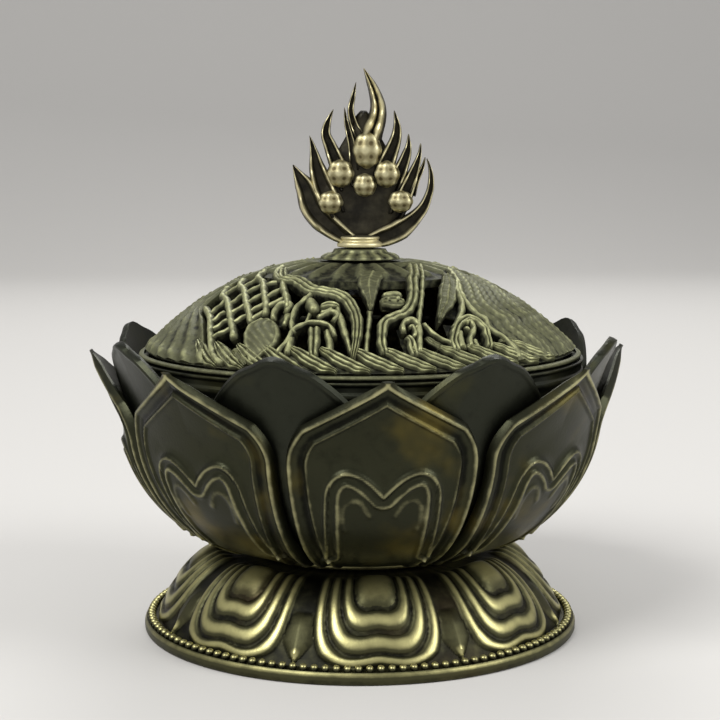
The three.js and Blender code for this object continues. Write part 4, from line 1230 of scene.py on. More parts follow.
@dataclass
class Lid:
    """The pierced lid: skirt and rim, border leaves, ribbons, knot lattice, scrolls and plates.

    Lines on the lid are points of (degrees round the lid from its front, share of its radius).
    The back half repeats the front.
    """

    dome: Dome = field(default_factory=Dome)
    turn: float = -4.5
    seat: float = 48.2
    rim_radius: float = 38.5
    rim_edge: float = 0.5
    skirt_radius: float = 36.8
    skirt_wall: float = 1.4
    skirt_depth: float = 3.3
    border_from: float = 0.93
    leaves: int = 13
    leaf_pitch: float = 8.1
    leaf_start: float = -52.0
    bore: float = 2.4
    crown_share: float = 0.48
    crown_ribs: int = 24
    depth: float = 1.3
    spacing: float = 0.32
    plate_thickness: float = 1.1
    # Where the dark sheet of painted shade lies behind the back openings, how wide it is and how
    # far it drops.
    shade_sheet_share: float = 0.785
    shade_sheet_width: float = 11.6
    shade_sheet_drop: float = 1.15

    knot: tuple = bars(
        (
            (
                (-67.9, 0.759), (-57.3, 0.797), (-50.9, 0.853), (-46.2, 0.904), (-42.9, 0.944),
                (-39.2, 0.975), (-36.3, 0.987),
            ),
            (
                (-76.3, 0.625), (-68.3, 0.674), (-59.3, 0.697), (-51.1, 0.748), (-45.4, 0.799),
                (-41.2, 0.844), (-38.3, 0.885),
            ),
            (
                (-77.2, 0.546), (-68.8, 0.590), (-58.2, 0.617), (-47.0, 0.693), (-39.9, 0.759),
                (-36.5, 0.804),
            ),
            (
                (-78.6, 0.447), (-66.2, 0.511), (-55.3, 0.537), (-42.9, 0.628), (-36.1, 0.704),
                (-33.2, 0.759),
            ),
            (
                (-74.7, 0.370), (-57.4, 0.457), (-43.6, 0.508), (-36.8, 0.573), (-30.5, 0.644),
                (-26.6, 0.709),
            ),
        ),
        1.35, 0.1, 0.8,
    ) + bars(
        (
            ((-59.0, 0.797), (-60.1, 0.717), (-62.4, 0.681)),
            ((-54.1, 0.823), (-52.4, 0.753)),
            ((-50.0, 0.853), (-46.8, 0.793)),
            ((-47.2, 0.889), (-42.6, 0.834)),
            ((-54.8, 0.722), (-54.5, 0.637)),
            ((-49.2, 0.768), (-45.6, 0.703)),
            ((-44.0, 0.814), (-40.3, 0.759)),
            ((-54.1, 0.637), (-52.4, 0.557)),
            ((-46.1, 0.698), (-43.8, 0.618)),
            ((-40.8, 0.749), (-37.6, 0.684)),
            ((-37.5, 0.789), (-34.7, 0.734)),
            ((-50.5, 0.563), (-43.5, 0.513)),
            ((-40.5, 0.648), (-36.8, 0.573)),
            ((-35.6, 0.709), (-30.9, 0.644)),
            ((-62.7, 0.611), (-64.9, 0.511)),
            ((-67.5, 0.670), (-70.4, 0.579)),
        ),
        0.95, -0.05, 0.7,
    )
    scenery: tuple = (
        Stroke(
            (
                (-59.9, 0.412), (-45.0, 0.498), (-33.5, 0.513), (-21.8, 0.584), (-13.1, 0.604),
                (-6.8, 0.639), (-2.9, 0.715), (-1.5, 0.785), (-1.5, 0.855), (-1.9, 0.906),
                (-2.4, 0.951),
            ),
            (2.2, 2.6, 2.8, 2.8, 2.6, 2.2, 1.9, 0.9), R3, 0.3, 0.8,
        ),
        Stroke(
            ((-8.7, 0.694), (-6.8, 0.760), (-5.3, 0.820), (-3.9, 0.875), (-2.9, 0.926)),
            (0.7, 1.4, 1.2, 0.6), RD, -0.1, 0.7,
        ),
        Stroke(
            ((8.8, 0.374), (3.9, 0.499), (3.4, 0.584), (3.4, 0.649), (2.9, 0.710)),
            (4.6, 4.0, 3.5, 2.0, 0.5), LF, 0.2, 0.5,
        ),
        Stroke(
            ((2.9, 0.694), (2.4, 0.760), (1.9, 0.805), (1.4, 0.855), (0.9, 0.936)),
            (0.9, 0.9), RD, -0.6, 0.6,
        ),
        Stroke(((7.2, 0.659), (11.6, 0.654), (16.9, 0.664)), (1.5, 3.2, 3.2, 1.5), LF, -0.3, 0.9),
        Stroke(((8.7, 0.614), (12.6, 0.599), (16.9, 0.614)), (1.0, 1.5, 1.0), RD, -0.1, 0.7),
        Stroke(((9.7, 0.649), (11.1, 0.644)), (0.9, 1.2, 0.9), RD, 0.35, 0.5),
        Stroke(((13.1, 0.644), (15.0, 0.649)), (0.9, 1.2, 0.9), RD, 0.35, 0.5),
        Stroke(
            (
                (46.9, 0.323), (39.3, 0.373), (31.4, 0.453), (27.2, 0.498), (21.8, 0.609),
                (17.9, 0.689), (14.0, 0.740), (10.1, 0.760), (6.7, 0.790), (5.8, 0.835),
                (5.3, 0.886), (5.8, 0.931),
            ),
            (2.3, 2.3, 2.1, 1.9, 1.9, 1.8, 1.5), R2, 0.3, 0.8,
        ),
        Stroke(
            (
                (58.4, 0.323), (47.7, 0.373), (37.6, 0.453), (26.6, 0.594), (22.7, 0.669),
                (19.8, 0.734), (17.8, 0.790), (16.4, 0.825),
            ),
            (0.9, 0.9), RD, 0.1, 0.7,
        ),
        Stroke(
            (
                (12.0, 0.840), (12.5, 0.800), (14.9, 0.775), (17.3, 0.795), (16.8, 0.835),
                (15.9, 0.880), (14.9, 0.931),
            ),
            (1.0, 1.2, 1.2, 1.0), RD, 0.2, 0.8,
        ),
        Stroke(
            ((12.5, 0.855), (13.5, 0.870), (13.5, 0.906), (13.6, 0.941)), (1.2, 1.7, 1.8), R2, 0.1,
            0.8,
        ),
        Stroke(
            ((14.0, 0.815), (15.4, 0.810), (15.6, 0.840), (14.6, 0.860)), (0.7, 0.9, 0.7), RD, 0.2,
            0.6,
        ),
        Stroke(
            ((19.3, 0.790), (20.2, 0.830), (22.1, 0.865), (24.5, 0.890), (26.8, 0.930)), (0.8, 0.8),
            RD, 0.1, 0.7,
        ),
        Stroke(
            ((18.8, 0.845), (20.7, 0.875), (23.0, 0.900), (25.4, 0.935)), (1.0, 1.6, 1.4), LF, -0.6,
            0.5,
        ),
        Stroke(
            (
                (57.8, 0.462), (48.2, 0.528), (42.4, 0.578), (37.6, 0.623), (32.8, 0.684),
                (27.9, 0.739), (24.5, 0.795),
            ),
            (1.4, 2.4, 3.1, 3.1, 1.9, 0.5), LF, 0.3, 0.7,
        ),
        Stroke(
            (
                (53.8, 0.537), (44.3, 0.608), (40.4, 0.678), (36.5, 0.734), (32.2, 0.784),
                (28.3, 0.825),
            ),
            (0.9, 1.2, 1.2, 0.9), RD, 0.2, 0.7,
        ),
        Stroke(
            (
                (25.4, 0.930), (25.7, 0.890), (27.4, 0.855), (30.7, 0.810), (35.5, 0.784),
                (38.3, 0.804), (38.8, 0.844), (37.3, 0.890), (35.9, 0.925),
            ),
            (1.5, 1.6, 1.6, 1.5, 1.3), R2, 0.3, 0.8,
        ),
        Stroke(
            (
                (30.2, 0.920), (31.2, 0.885), (33.1, 0.860), (35.5, 0.829), (35.5, 0.799),
                (33.4, 0.809),
            ),
            (1.0, 1.1, 1.1, 0.8), RD, 0.2, 0.8,
        ),
        Stroke(((32.1, 0.840), (33.1, 0.830)), (1.1, 1.4, 1.1), RD, 0.2, 0.8),
        Stroke(((29.6, 0.845), (28.3, 0.880), (27.6, 0.920)), (1.2, 1.5, 1.4), RD, 0.2, 0.8),
        Stroke(((33.1, 0.880), (32.4, 0.920)), (1.0, 1.2), RD, 0.0, 0.7),
        Stroke(((36.8, 0.910), (40.5, 0.930), (42.8, 0.959)), (0.6, 1.7, 0.8), LF, 0.1, 0.6),
        Stroke(((42.0, 0.894), (45.7, 0.899), (50.2, 0.928)), (0.6, 1.9, 0.8), LF, 0.0, 0.6),
        Stroke(
            ((-41.5, 0.930), (-38.7, 0.940), (-36.4, 0.965), (-34.9, 0.990)), (0.7, 2.0, 1.9, 0.6),
            LF, 0.2, 0.6,
        ),
        Stroke(
            ((-35.9, 0.950), (-35.0, 0.935), (-32.6, 0.950), (-30.2, 0.981)), (0.6, 1.8, 1.8, 0.6),
            LF, 0.2, 0.6,
        ),
        Stroke(
            (
                (-28.9, 0.784), (-30.4, 0.749), (-30.9, 0.714), (-29.9, 0.689), (-27.1, 0.684),
                (-25.6, 0.709), (-26.5, 0.739),
            ),
            (1.0, 1.2, 1.2, 1.0), RD, 0.1, 0.8,
        ),
        Stroke(((-26.6, 0.714), (-25.1, 0.759), (-25.1, 0.795)), (1.3, 1.6, 1.0), RD, -0.4, 0.7),
        Stroke(
            (
                (-20.4, 0.614), (-21.8, 0.664), (-23.2, 0.709), (-22.7, 0.765), (-21.2, 0.820),
                (-19.8, 0.845),
            ),
            (0.85, 0.95, 0.85), RD, 0.3, 0.7,
        ),
        Stroke(
            ((-19.4, 0.659), (-18.4, 0.684), (-16.9, 0.709), (-16.4, 0.730)), (1.6, 2.3, 2.2, 1.2),
            RD, 0.1, 1.0,
        ),
        Stroke(((-17.9, 0.714), (-17.9, 0.765), (-17.9, 0.805)), (0.8, 0.8), RD, -0.4, 0.6),
        Stroke(
            (
                (-14.5, 0.760), (-12.1, 0.745), (-11.1, 0.730), (-8.7, 0.730), (-8.0, 0.755),
                (-9.2, 0.780),
            ),
            (1.0, 1.1, 1.1, 0.9), RD, 0.2, 0.7,
        ),
        Stroke(
            ((-15.0, 0.694), (-12.6, 0.689), (-10.2, 0.684), (-7.8, 0.699)), (1.0, 1.9, 1.6, 0.8),
            R2, 0.0, 0.8,
        ),
        Stroke(((-14.0, 0.730), (-11.6, 0.720), (-10.2, 0.704)), (0.8, 1.2, 0.8), RD, 0.0, 0.7),
        Stroke(
            (
                (-22.6, 0.936), (-21.2, 0.895), (-20.7, 0.865), (-20.5, 0.835), (-18.3, 0.805),
                (-14.5, 0.790), (-11.6, 0.795), (-9.2, 0.815), (-7.7, 0.855),
            ),
            (0.9, 0.9), RD, 0.4, 0.6,
        ),
        Stroke(
            ((-14.5, 0.810), (-13.5, 0.865), (-13.0, 0.906), (-12.5, 0.941)), (2.0, 2.1, 1.9, 1.6),
            R2, 0.1, 0.9,
        ),
        Stroke(
            ((-10.6, 0.815), (-9.2, 0.865), (-8.7, 0.901), (-8.5, 0.936)), (1.3, 1.3), RD, -0.2,
            0.7,
        ),
        Stroke(((-20.7, 0.860), (-20.2, 0.880), (-19.7, 0.936)), (1.4, 1.5, 1.3), RD, 0.1, 0.7),
        Stroke(((14.3, 0.795), (14.4, 0.946)), (3.6, 3.4), RD, -0.9, 0.0),
        Stroke(((34.1, 0.794), (31.1, 0.955)), (7.0, 7.6), RD, -0.9, 0.0),
        Stroke(((7.7, 0.644), (17.9, 0.649)), (3.4, 3.8), RD, -0.9, 0.0),
        Stroke(((-19.4, 0.684), (-9.2, 0.709)), (3.6, 3.4), RD, -0.9, 0.0),
        Stroke(((48.2, 0.543), (31.8, 0.739)), (3.6, 2.8), RD, -0.9, 0.0),
        Stroke(((-26.6, 0.714), (-26.0, 0.785)), (3.0, 2.6), RD, -0.9, 0.0),
    )
    cloth_back: tuple = ((-95.0, 1.000), (-95.0, 0.750), (-96.0, 0.550), (-98.0, 0.400))
    cloth_edge: tuple = (
        (-42.4, 0.995), (-45.2, 0.959), (-48.5, 0.909), (-53.6, 0.858), (-59.9, 0.812),
        (-70.1, 0.758), (-77.3, 0.585), (-97.0, 0.400),
    )
    wing_edge: tuple = (
        (42.8, 0.985), (44.7, 0.929), (43.4, 0.884), (41.1, 0.839), (42.6, 0.794), (41.2, 0.764),
        (41.3, 0.709), (44.7, 0.628), (54.2, 0.537), (74.4, 0.419),
    )
    wing_back: tuple = ((88.0, 1.000), (87.0, 0.860), (87.0, 0.700), (87.0, 0.550), (80.3, 0.407))
    leaf_left: tuple = (
        (-29.3, 0.981), (-31.7, 0.935), (-34.5, 0.890), (-36.5, 0.844), (-36.5, 0.809),
        (-34.6, 0.779),
    )
    leaf_right: tuple = (
        (-28.3, 0.976), (-25.9, 0.930), (-24.1, 0.890), (-24.6, 0.845), (-27.0, 0.800),
        (-31.3, 0.774),
    )

    def on_dome(self, stroke: Stroke) -> Surface:
        """A stroke laid along the dome."""
        flat = to_plan(stroke.line)
        steps = np.diff(through(flat, 60), axis=0)
        length = np.linalg.norm(steps, axis=1).sum() * self.dome.radius
        angle, share = from_plan(through(flat, int(np.clip(length / self.spacing, 12, 90))))
        centre, normal = self.dome.point(angle, share), self.dome.normal(angle, share)
        return swept(centre, normal, stroke, self.depth)

    def plate(
        self, left: tuple, right: tuple, rows: int, columns: int, relief: Callable, lift: float
    ) -> Surface:
        """A patch of the dome between two side lines, with relief.

        Formula: each row runs evenly in angle and radius between the same shares of both lines.

        Args:
            left: Points of the left side, from rim towards crown or along the patch.
            right: Points of the right side.
            rows: Rows of points along the sides.
            columns: Points across.
            relief: Function of a Patch that returns height and wear.
            lift: How far the patch stands above the dome.

        Returns:
            The closed patch.
        """
        start, end = through(to_plan(left), rows), through(to_plan(right), rows)
        column = np.linspace(0, 1, columns)[None]
        (angle, share), (end_angle, end_share) = from_plan(start), from_plan(end)
        angle = angle[:, None] + (end_angle - angle)[:, None] * column
        share = share[:, None] + (end_share - share)[:, None] * column
        width = np.linalg.norm(end - start, axis=1)[:, None] * self.dome.radius
        along = walk((start + end) / 2)[:, None] * self.dome.radius
        row = np.linspace(0, 1, rows)[:, None]
        height, wear_and_highlight = relief(Patch(row, column, along, column * width, width))
        base, normal = self.dome.point(angle, share), self.dome.normal(angle, share)
        outer = base + (lift + height)[..., None] * normal
        inner = base + (lift - self.plate_thickness) * normal
        return sheet(outer, inner, wear_and_highlight, 0.1, 0.15)

    @staticmethod
    def feathers(patch: Patch) -> Relief:
        """Long feathers side by side from the crown down, each with fine slanting barbs."""
        along, across = patch.along, patch.across
        sway = 1.2 * np.sin(np.pi * patch.row) + 0.35 * np.sin(2 * np.pi * along / 7.5)
        place = (across + sway) / 2.1 % 1 - 0.5
        shaft = ridge(place, 0.5) ** 0.8
        broad = 0.5 + 0.5 * np.cos(2 * np.pi * (across + sway) / 8.4 + 0.25 * along)
        barb = 0.5 + 0.5 * np.cos(2 * np.pi * (along + 1.6 * np.abs(place)) / 1.0)
        wear_and_highlight = 0.08 + 0.26 * shaft + 0.2 * barb * shaft + 0.22 * broad
        return 0.34 * shaft + 0.14 * barb + 0.4 * broad, wear_and_highlight

    @staticmethod
    def folds(patch: Patch) -> Relief:
        """Soft upright folds, like gathered cloth, over a plain hem."""
        along = patch.along
        sway = 0.5 * np.sin(2 * np.pi * along / 13)
        fold = 0.5 + 0.5 * np.cos(2 * np.pi * (patch.width - patch.across + sway - 0.8) / 4.3)
        weave = 0.5 + 0.5 * np.cos(2 * np.pi * along / 1.9 + 2 * fold)
        hem = ridge(along - 0.7, 0.8)
        wear_and_highlight = 0.1 + 0.4 * fold**1.3 + 0.25 * hem + 0.1 * weave
        return 0.6 * fold**1.2 + 0.3 * hem + 0.08 * weave, wear_and_highlight

    @staticmethod
    def stripes(patch: Patch) -> Relief:
        """A cupped leaf with slanting stripes and a raised edge."""
        edge = np.minimum(patch.across, patch.width - patch.across)
        rim = ridge(edge - 0.35, 0.5) * (patch.width > 1.2)
        stripe = 0.5 + 0.5 * np.cos(2 * np.pi * (patch.along * 0.75 + patch.across) / 1.35)
        swell = 0.6 * np.sin(np.pi * patch.column) * np.sin(np.pi * patch.row)
        return 0.25 * rim + 0.14 * stripe + swell, 0.28 + 0.4 * rim + 0.3 * stripe * (1 - rim)

    def plates(self) -> list[Surface]:
        """The cloth panel on the left, the feathered wing on the right and the striped leaf."""
        cloth = self.plate(self.cloth_back, self.cloth_edge, 76, 84, self.folds, 0.1)
        wing = self.plate(self.wing_edge, self.wing_back, 110, 120, self.feathers, 0.1)
        leaf = self.plate(self.leaf_left, self.leaf_right, 48, 40, self.stripes, 0.2)
        return [cloth, wing, leaf]

    def band(self) -> Stroke:
        """The raised line that edges the wing."""
        return Stroke(((43.7, 0.979), *self.wing_edge[1:]), (1.0, 1.2, 1.0), RD, 0.2, 0.7)

    def border(self) -> list[Surface]:
        """The slanting leaves round the front of the rim, each with three fine ribs."""
        along = ((0, 0.905), (3.4, 0.930), (7.0, 0.958), (10.6, 0.982), (13.5, 0.996))
        line = tuple((self.leaf_start + angle, share) for angle, share in along)
        leaf = self.on_dome(Stroke(line, (0.8, 2.3, 2.6, 2.4, 0.9), R3, 0.0, 0.8))
        return [leaf.moved(i * self.leaf_pitch) for i in range(self.leaves)]

    def shell(self) -> list[Surface]:
        """The skirt and rim below the openwork, and the crown plate above it."""
        skirt_inner = self.skirt_radius - self.skirt_wall
        share = np.linspace(1, self.border_from, 6)
        slope = np.stack([share * self.dome.radius, self.dome.height(share) - 0.1], 1)
        foot = self.seat - self.skirt_depth
        top = self.seat + self.rim_edge
        line = rounded(
            [
                (skirt_inner, foot), (self.skirt_radius, foot), (self.skirt_radius, self.seat),
                (self.rim_radius, self.seat), (self.rim_radius, top),
                (self.rim_radius - 0.8, top + 0.2), (self.rim_radius - 1.1, top - 0.1),
                (self.dome.radius + 0.4, top - 0.1), (self.dome.radius, self.dome.spring + 0.2),
                *slope[1:].tolist(), (slope[-1, 0] - 0.1, slope[-1, 1] - 1.0),
                (skirt_inner, self.seat + 0.9),
            ],
            0.22,
        )
        on_rim = ridge(line[:, 0] - self.rim_radius + 0.2, 0.8) * (line[:, 1] > self.seat + 0.2)
        body = revolved(line, 288, wear_and_highlight=(0.1 + 0.42 * on_rim)[:, None])
        share = np.linspace(self.crown_share, 0.1, 30)
        bore_top = self.dome.height(0.08)
        edge = (self.crown_share * self.dome.radius, self.dome.height(self.crown_share) - 1.3)
        slope = np.stack([share * self.dome.radius, self.dome.height(share)], 1)
        crown = np.vstack([(self.bore, bore_top - 1.6), edge, slope, (self.bore, bore_top)])
        columns = 10 * self.crown_ribs
        half_pitch = FULL_TURN / self.crown_ribs / 2
        angle = np.arange(columns) * FULL_TURN / columns
        petal = ((angle + half_pitch) % (2 * half_pitch) - half_pitch)[None] / half_pitch
        reach = share[:, None] / self.crown_share
        edge = reach - (0.93 - 0.14 * petal**2)
        lift = np.zeros((len(crown), columns))
        wear_and_highlight = np.full((len(crown), columns), 0.12)
        rib = ridge(petal, 0.75) * step_up(reach, 0.3, 0.6) * (1 - step_up(edge, -0.04, 0.03))
        lift[2:-1] = 0.7 * rib
        wear_and_highlight[2:-1] = 0.1 + 0.5 * rib**1.5
        return [body, revolved(crown, columns, lift, wear_and_highlight)]

    def ground(self) -> Surface:
        """Painted shade: a low dark sheet behind the back half's openings, so that no light falls
        through.
        """
        middle = FULL_TURN / 2
        line = tuple((middle + angle, self.shade_sheet_share) for angle in range(-50, 51, 10))
        widths = (self.shade_sheet_width, self.shade_sheet_width)
        return self.on_dome(Stroke(line, widths, RD, -self.shade_sheet_drop, 0.0))

    def build(self) -> None:
        """Makes the lid's casting, and a dark sheet of painted shade, in a few meshes that ride
        together.
        """
        halves = (self.turn, self.turn + FULL_TURN / 2)
        # The shell mesh also holds the dark sheet of painted shade behind the back openings.
        shell = [part.moved(self.turn) for part in (*self.shell(), self.ground())]
        dress(make_piece("lid_shell", shell, Finish.LID), "lid", "lid_brass", "lid")
        border = [part.moved(turn) for turn in halves for part in self.border()]
        dress(make_piece("lid_border", border, Finish.LID, 50.0), "lid", "lid_brass")
        groups = {
            "lid_ribbons": [self.on_dome(stroke) for stroke in (*self.scenery, self.band())],
            "lid_knots": [self.on_dome(stroke) for stroke in self.knot],
            "lid_plates": self.plates(),
        }
        for name, parts in groups.items():
            pair = [part.moved(turn) for turn in halves for part in parts]
            dress(make_piece(name, pair, Finish.LID, 50.0), "lid", "lid_brass")


# Finial


@dataclass
class Finial:
    """Flaming jewels on a stud: tongues of flame with hollow middles, round ribbed jewels.

    Tongues are points of (across, height) in the finial's own plane, with full widths.
    """

    turn: float = -4.5
    base: float = 66.7
    neck_radius: float = 4.0
    neck_top: float = 3.2
    neck_height: float = 2.0
    stud_radius: float = 2.0
    stud_bottom: float = 57.6
    top: float = 97.4
    cap_radius: float = 7.0
    cap_bottom: float = 64.6
    cap_thickness: float = 1.8
    cap_bore: float = 2.4
    back: tuple = (
        (68.0, 1.9), (69.5, 4.2), (71.5, 6.0), (74.0, 7.4), (77.0, 7.2), (80.0, 6.2), (83.0, 4.6),
        (86.0, 2.9), (88.4, 2.0), (90.2, 0.5),
    )
    tongues: tuple = (
        (
            ((-0.6, 67.4), (-4.6, 69.9), (-7.9, 73.1), (-9.4, 76.8), (-10.7, 79.2), (-11.6, 80.9)),
            (2.0, 3.6, 4.6, 4.4, 3.2, 0.2), 1.5,
        ),
        (
            ((-3.6, 72.1), (-6.0, 76.3), (-7.3, 79.9), (-7.9, 82.7), (-8.3, 84.5), (-8.7, 85.9)),
            (2.8, 4.0, 4.0, 3.0, 1.5, 0.1), 1.8,
        ),
        (
            ((-2.1, 76.6), (-3.6, 80.3), (-5.1, 84.0), (-5.9, 86.2), (-5.5, 88.3), (-4.6, 90.4)),
            (2.8, 3.4, 2.8, 2.1, 1.4, 0.1), 2.0,
        ),
        (
            ((-1.0, 79.8), (-1.4, 83.9), (-1.9, 86.2), (-2.4, 88.4), (-2.7, 90.7)),
            (1.8, 1.6, 1.3, 0.9, 0.1), 1.8,
        ),
        (
            ((0.4, 85.0), (-1.0, 87.7), (-1.6, 90.2), (-1.2, 92.5), (-0.7, 95.0)),
            (2.4, 1.5, 1.2, 0.9, 0.1), 2.0,
        ),
        (
            ((3.4, 78.4), (4.9, 82.0), (6.1, 85.1), (6.4, 87.4), (5.9, 90.2)),
            (3.2, 3.2, 2.4, 1.5, 0.1), 2.0,
        ),
        (((5.4, 76.5), (7.3, 80.6), (8.3, 83.7), (8.4, 86.2)), (2.8, 2.6, 1.7, 0.1), 1.8),
        (
            ((6.0, 71.9), (7.5, 75.1), (8.8, 78.2), (9.8, 81.0), (10.3, 82.8), (10.5, 84.6)),
            (2.8, 3.2, 2.8, 2.0, 1.0, 0.1), 1.8,
        ),
        (((9.0, 75.6), (9.9, 78.3), (10.8, 80.4), (11.3, 82.2)), (1.4, 1.0, 0.8, 0.1), 1.5),
        (
            (
                (0.6, 67.4), (6.4, 69.4), (10.4, 72.7), (12.0, 75.9), (12.35, 78.4), (12.1, 80.4),
                (11.6, 82.0),
            ),
            (2.0, 3.6, 3.8, 2.4, 1.5, 1.0, 0.1), 1.5,
        ),
    )
    crest: tuple = (
        ((0.9, 82.9), (1.9, 86.1), (2.9, 88.8), (3.1, 91.0), (2.4, 93.6), (1.4, 95.8), (0.6, 97.4)),
        (3.6, 4.3, 3.6, 2.9, 2.2, 1.4, 0.1), 2.2,
    )
    jewels: tuple = (
        (1.2, 83.4, 2.45, 3.15), (-3.4, 79.4, 2.3, 2.4), (4.6, 79.3, 2.2, 2.3),
        (0.8, 77.4, 2.0, 2.0), (-5.1, 74.4, 2.1, 2.0), (7.0, 74.6, 2.1, 1.9),
    )
    plate_half: float = 0.9
    plate_middle: tuple = ((68.0, 0.2), (78.0, 0.5), (90.4, 0.6))
    merging_below: tuple = (0.04, 0.32)
    low_tongue: float = 70.0
    jewel_out: float = 1.5
    jewel_depth: float = 0.75
    jewel_ribs: int = 8
    jewel_lobes: int = 7
    scallops: int = 16

    @staticmethod
    def upright(x: np.ndarray, z: np.ndarray, stroke: Stroke) -> Surface:
        """A stroke in the finial's plane, the same on both faces."""
        up = np.tile([0.0, -1.0, 0.0], (len(z), 1))
        return swept(np.stack([x, 0 * x, z], 1), up, stroke, 0.0, both=True)

    def tongue(
        self, line: tuple, widths: tuple, thick: float, section: Section = Section.HOLLOW
    ) -> Surface:
        """A flame tongue; one that springs from between others is dark where it starts."""
        x, z = through(np.array(line), 40).T
        body = self.upright(x, z, Stroke(line, widths, section, 0.25, thick))
        if line[0][1] > self.low_tongue:
            sunk = step_up(np.linspace(0, 1, len(z)), *self.merging_below)[:, None]
            body.wear_and_highlight[:-2] = (body.wear_and_highlight[:-2].reshape(len(z), -1) * (0.1 + 0.9 * sunk)).ravel()
        return body

    def jewel(self, x: float, z: float, wide: float, tall: float) -> list[Surface]:
        """A jewel on each face: a squashed ball with level ribs, cut across by upright ones."""
        columns = 48
        sweep = np.radians(np.linspace(-90, 90, 29))
        level = np.cos(sweep * self.jewel_ribs)
        ribs = 1 + 0.025 * level
        line = np.stack([wide * np.cos(sweep) * ribs, tall * np.sin(sweep) * ribs], 1)
        line[[0, -1], 0] = 0
        turns = np.arange(columns) * self.jewel_lobes * 2 * np.pi / columns
        lobes = np.cos(sweep)[:, None] * np.cos(turns + 0.9)[None]
        balls = []
        for side in (-1, 1):
            wear_and_highlight = 0.46 + 0.26 * level[:, None] + 0.22 * lobes
            ball = revolved(line, columns, 0.08 * lobes, wear_and_highlight)
            ball.points[:, 1] *= self.jewel_depth
            ball.points += [x, side * self.jewel_out, z]
            balls.append(ball)
        return balls

    def plate(self) -> Surface:
        """The thin dark plate behind jewels and tongues."""
        z, half = through(np.array(self.back), 30).T
        x = np.interp(z, *zip(*self.plate_middle))
        body = self.upright(x, z, Stroke(self.back, tuple(2 * half), RD, 0.2, self.plate_half))
        body.wear_and_highlight[:] = 0.12
        return body

    def stud(self) -> Surface:
        """The turned neck, with a bead round its waist, and the stud below it."""
        neck = self.base + self.neck_height
        line = rounded(
            [
                (0, self.stud_bottom), (self.stud_radius - 0.3, self.stud_bottom),
                (self.stud_radius, self.stud_bottom + 0.3), (self.stud_radius, self.base),
                (self.neck_radius, self.base), (self.neck_radius, self.base + 0.7),
                (self.neck_top, self.base + 1.1), (self.neck_top + 0.3, self.base + 1.6),
                (self.neck_top - 0.2, neck), (0, neck + 0.2),
            ],
            0.25,
        )
        return revolved(line, 64, wear_and_highlight=(0.3 + 0.5 * (line[:, 0] > self.neck_top))[:, None])

    def build(self) -> None:
        """Makes the flame, its jewels and the cap under them."""
        body = [self.tongue(*tongue) for tongue in self.tongues]
        body += [self.tongue(*self.crest, Section.TWO_RIBS), self.plate(), self.stud()]
        parts = [part.moved(self.turn) for part in body]
        flame = make_piece("finial_flame", parts, Finish.FINIAL, 50.0)
        dress(flame, "lid", "finial_brass", "finial")
        balls = [ball.moved(self.turn) for jewel in self.jewels for ball in self.jewel(*jewel)]
        dress(make_piece("finial_jewels", balls, Finish.JEWEL), "lid", "finial_brass")
        dress(make_piece("cap_ring", [self.cap()], Finish.LID), "lid", "lid_brass", "lid_cap")

    def cap(self) -> Surface:
        """The scalloped cap between dome and neck."""
        columns = 192
        bottom, radius = self.cap_bottom, self.cap_radius
        top = bottom + self.cap_thickness
        line = rounded(
            [
                (self.cap_bore, bottom), (radius, bottom), (radius, bottom + 0.5),
                (radius - 0.9, bottom + 1.0), (radius - 2.0, bottom + 1.2), (4.6, top),
                (self.cap_bore, top),
            ],
            0.3,
        )
        scallop = np.cos(np.arange(columns) * self.scallops * 2 * np.pi / columns)[None]
        near_edge = ridge(line[:, :1] - (radius - 1.0), 1.4) * (line[:, 1:] > bottom + 0.2)
        lift = 0.12 * scallop * near_edge
        wear_and_highlight = 0.45 + 0.3 * scallop * (lift != 0)
        return revolved(line, columns, lift - 0.12 * (lift != 0), wear_and_highlight)


# Inside


@dataclass
class AshDish:
    """The spun dish that catches ash, on a foot ring."""

    bore: float = 2.4
    foot_inner: float = 13.0
    foot_outer: float = 15.4
    foot_bottom: float = 21.1
    under: float = 24.6
    wall: float = 1.4
    floor_radius: float = 16.0
    rim_radius: float = 27.5
    lip_radius: float = 29.0
    rim_height: float = 34.6
    straight: float = 3.6

    def build(self) -> None:
        """Turns the dish."""
        floor = self.under + self.wall
        top, below = self.rim_height, self.rim_height - self.straight
        line = rounded(
            [
                (self.bore, self.under), (self.foot_inner, self.under),
                (self.foot_inner, self.foot_bottom), (self.foot_outer, self.foot_bottom),
                (self.foot_outer, self.under), (self.floor_radius + self.wall, self.under),
                (self.rim_radius, below), (self.rim_radius, top - self.wall),
                (self.lip_radius, top - self.wall), (self.lip_radius, top),
                (self.rim_radius - self.wall, top), (self.rim_radius - self.wall, below),
                (self.floor_radius, floor), (self.bore, floor),
            ],
            0.6,
        )
        wear_and_highlight = (0.35 + 0.5 * (line[:, 0] > self.rim_radius))[:, None]
        piece = make_piece("dish_spinning", [revolved(line, 160, wear_and_highlight=wear_and_highlight)], Finish.DISH)
        dress(piece, "dish", "dish_brass", "ash_dish")


@dataclass
class ConeSeat:
    """The riveted seat whose shallow recess holds the cone."""

    stem_bottom: float = 24.1
    stem_radius: float = 2.0
    bottom: float = 26.3
    radius: float = 8.5
    height: float = 2.8
    edge: float = 1.1
    recess_radius: float = 6.6
    recess_depth: float = 1.2

    def build(self) -> None:
        """Turns the seat."""
        top = self.bottom + self.height
        recess = top - self.recess_depth
        line = rounded(
            [
                (0, self.stem_bottom), (self.stem_radius, self.stem_bottom),
                (self.stem_radius, self.bottom), (self.radius, self.bottom),
                (self.radius, self.bottom + self.edge), (self.recess_radius + 0.8, top),
                (self.recess_radius, top), (self.recess_radius, recess), (0, recess),
            ],
            0.25,
        )
        wear_and_highlight = (0.35 + 0.5 * (line[:, 1] > top - 0.3))[:, None]
        piece = make_piece("seat_turning", [revolved(line, 96, wear_and_highlight=wear_and_highlight)], Finish.DISH)
        dress(piece, "dish", "dish_brass", "cone_seat")


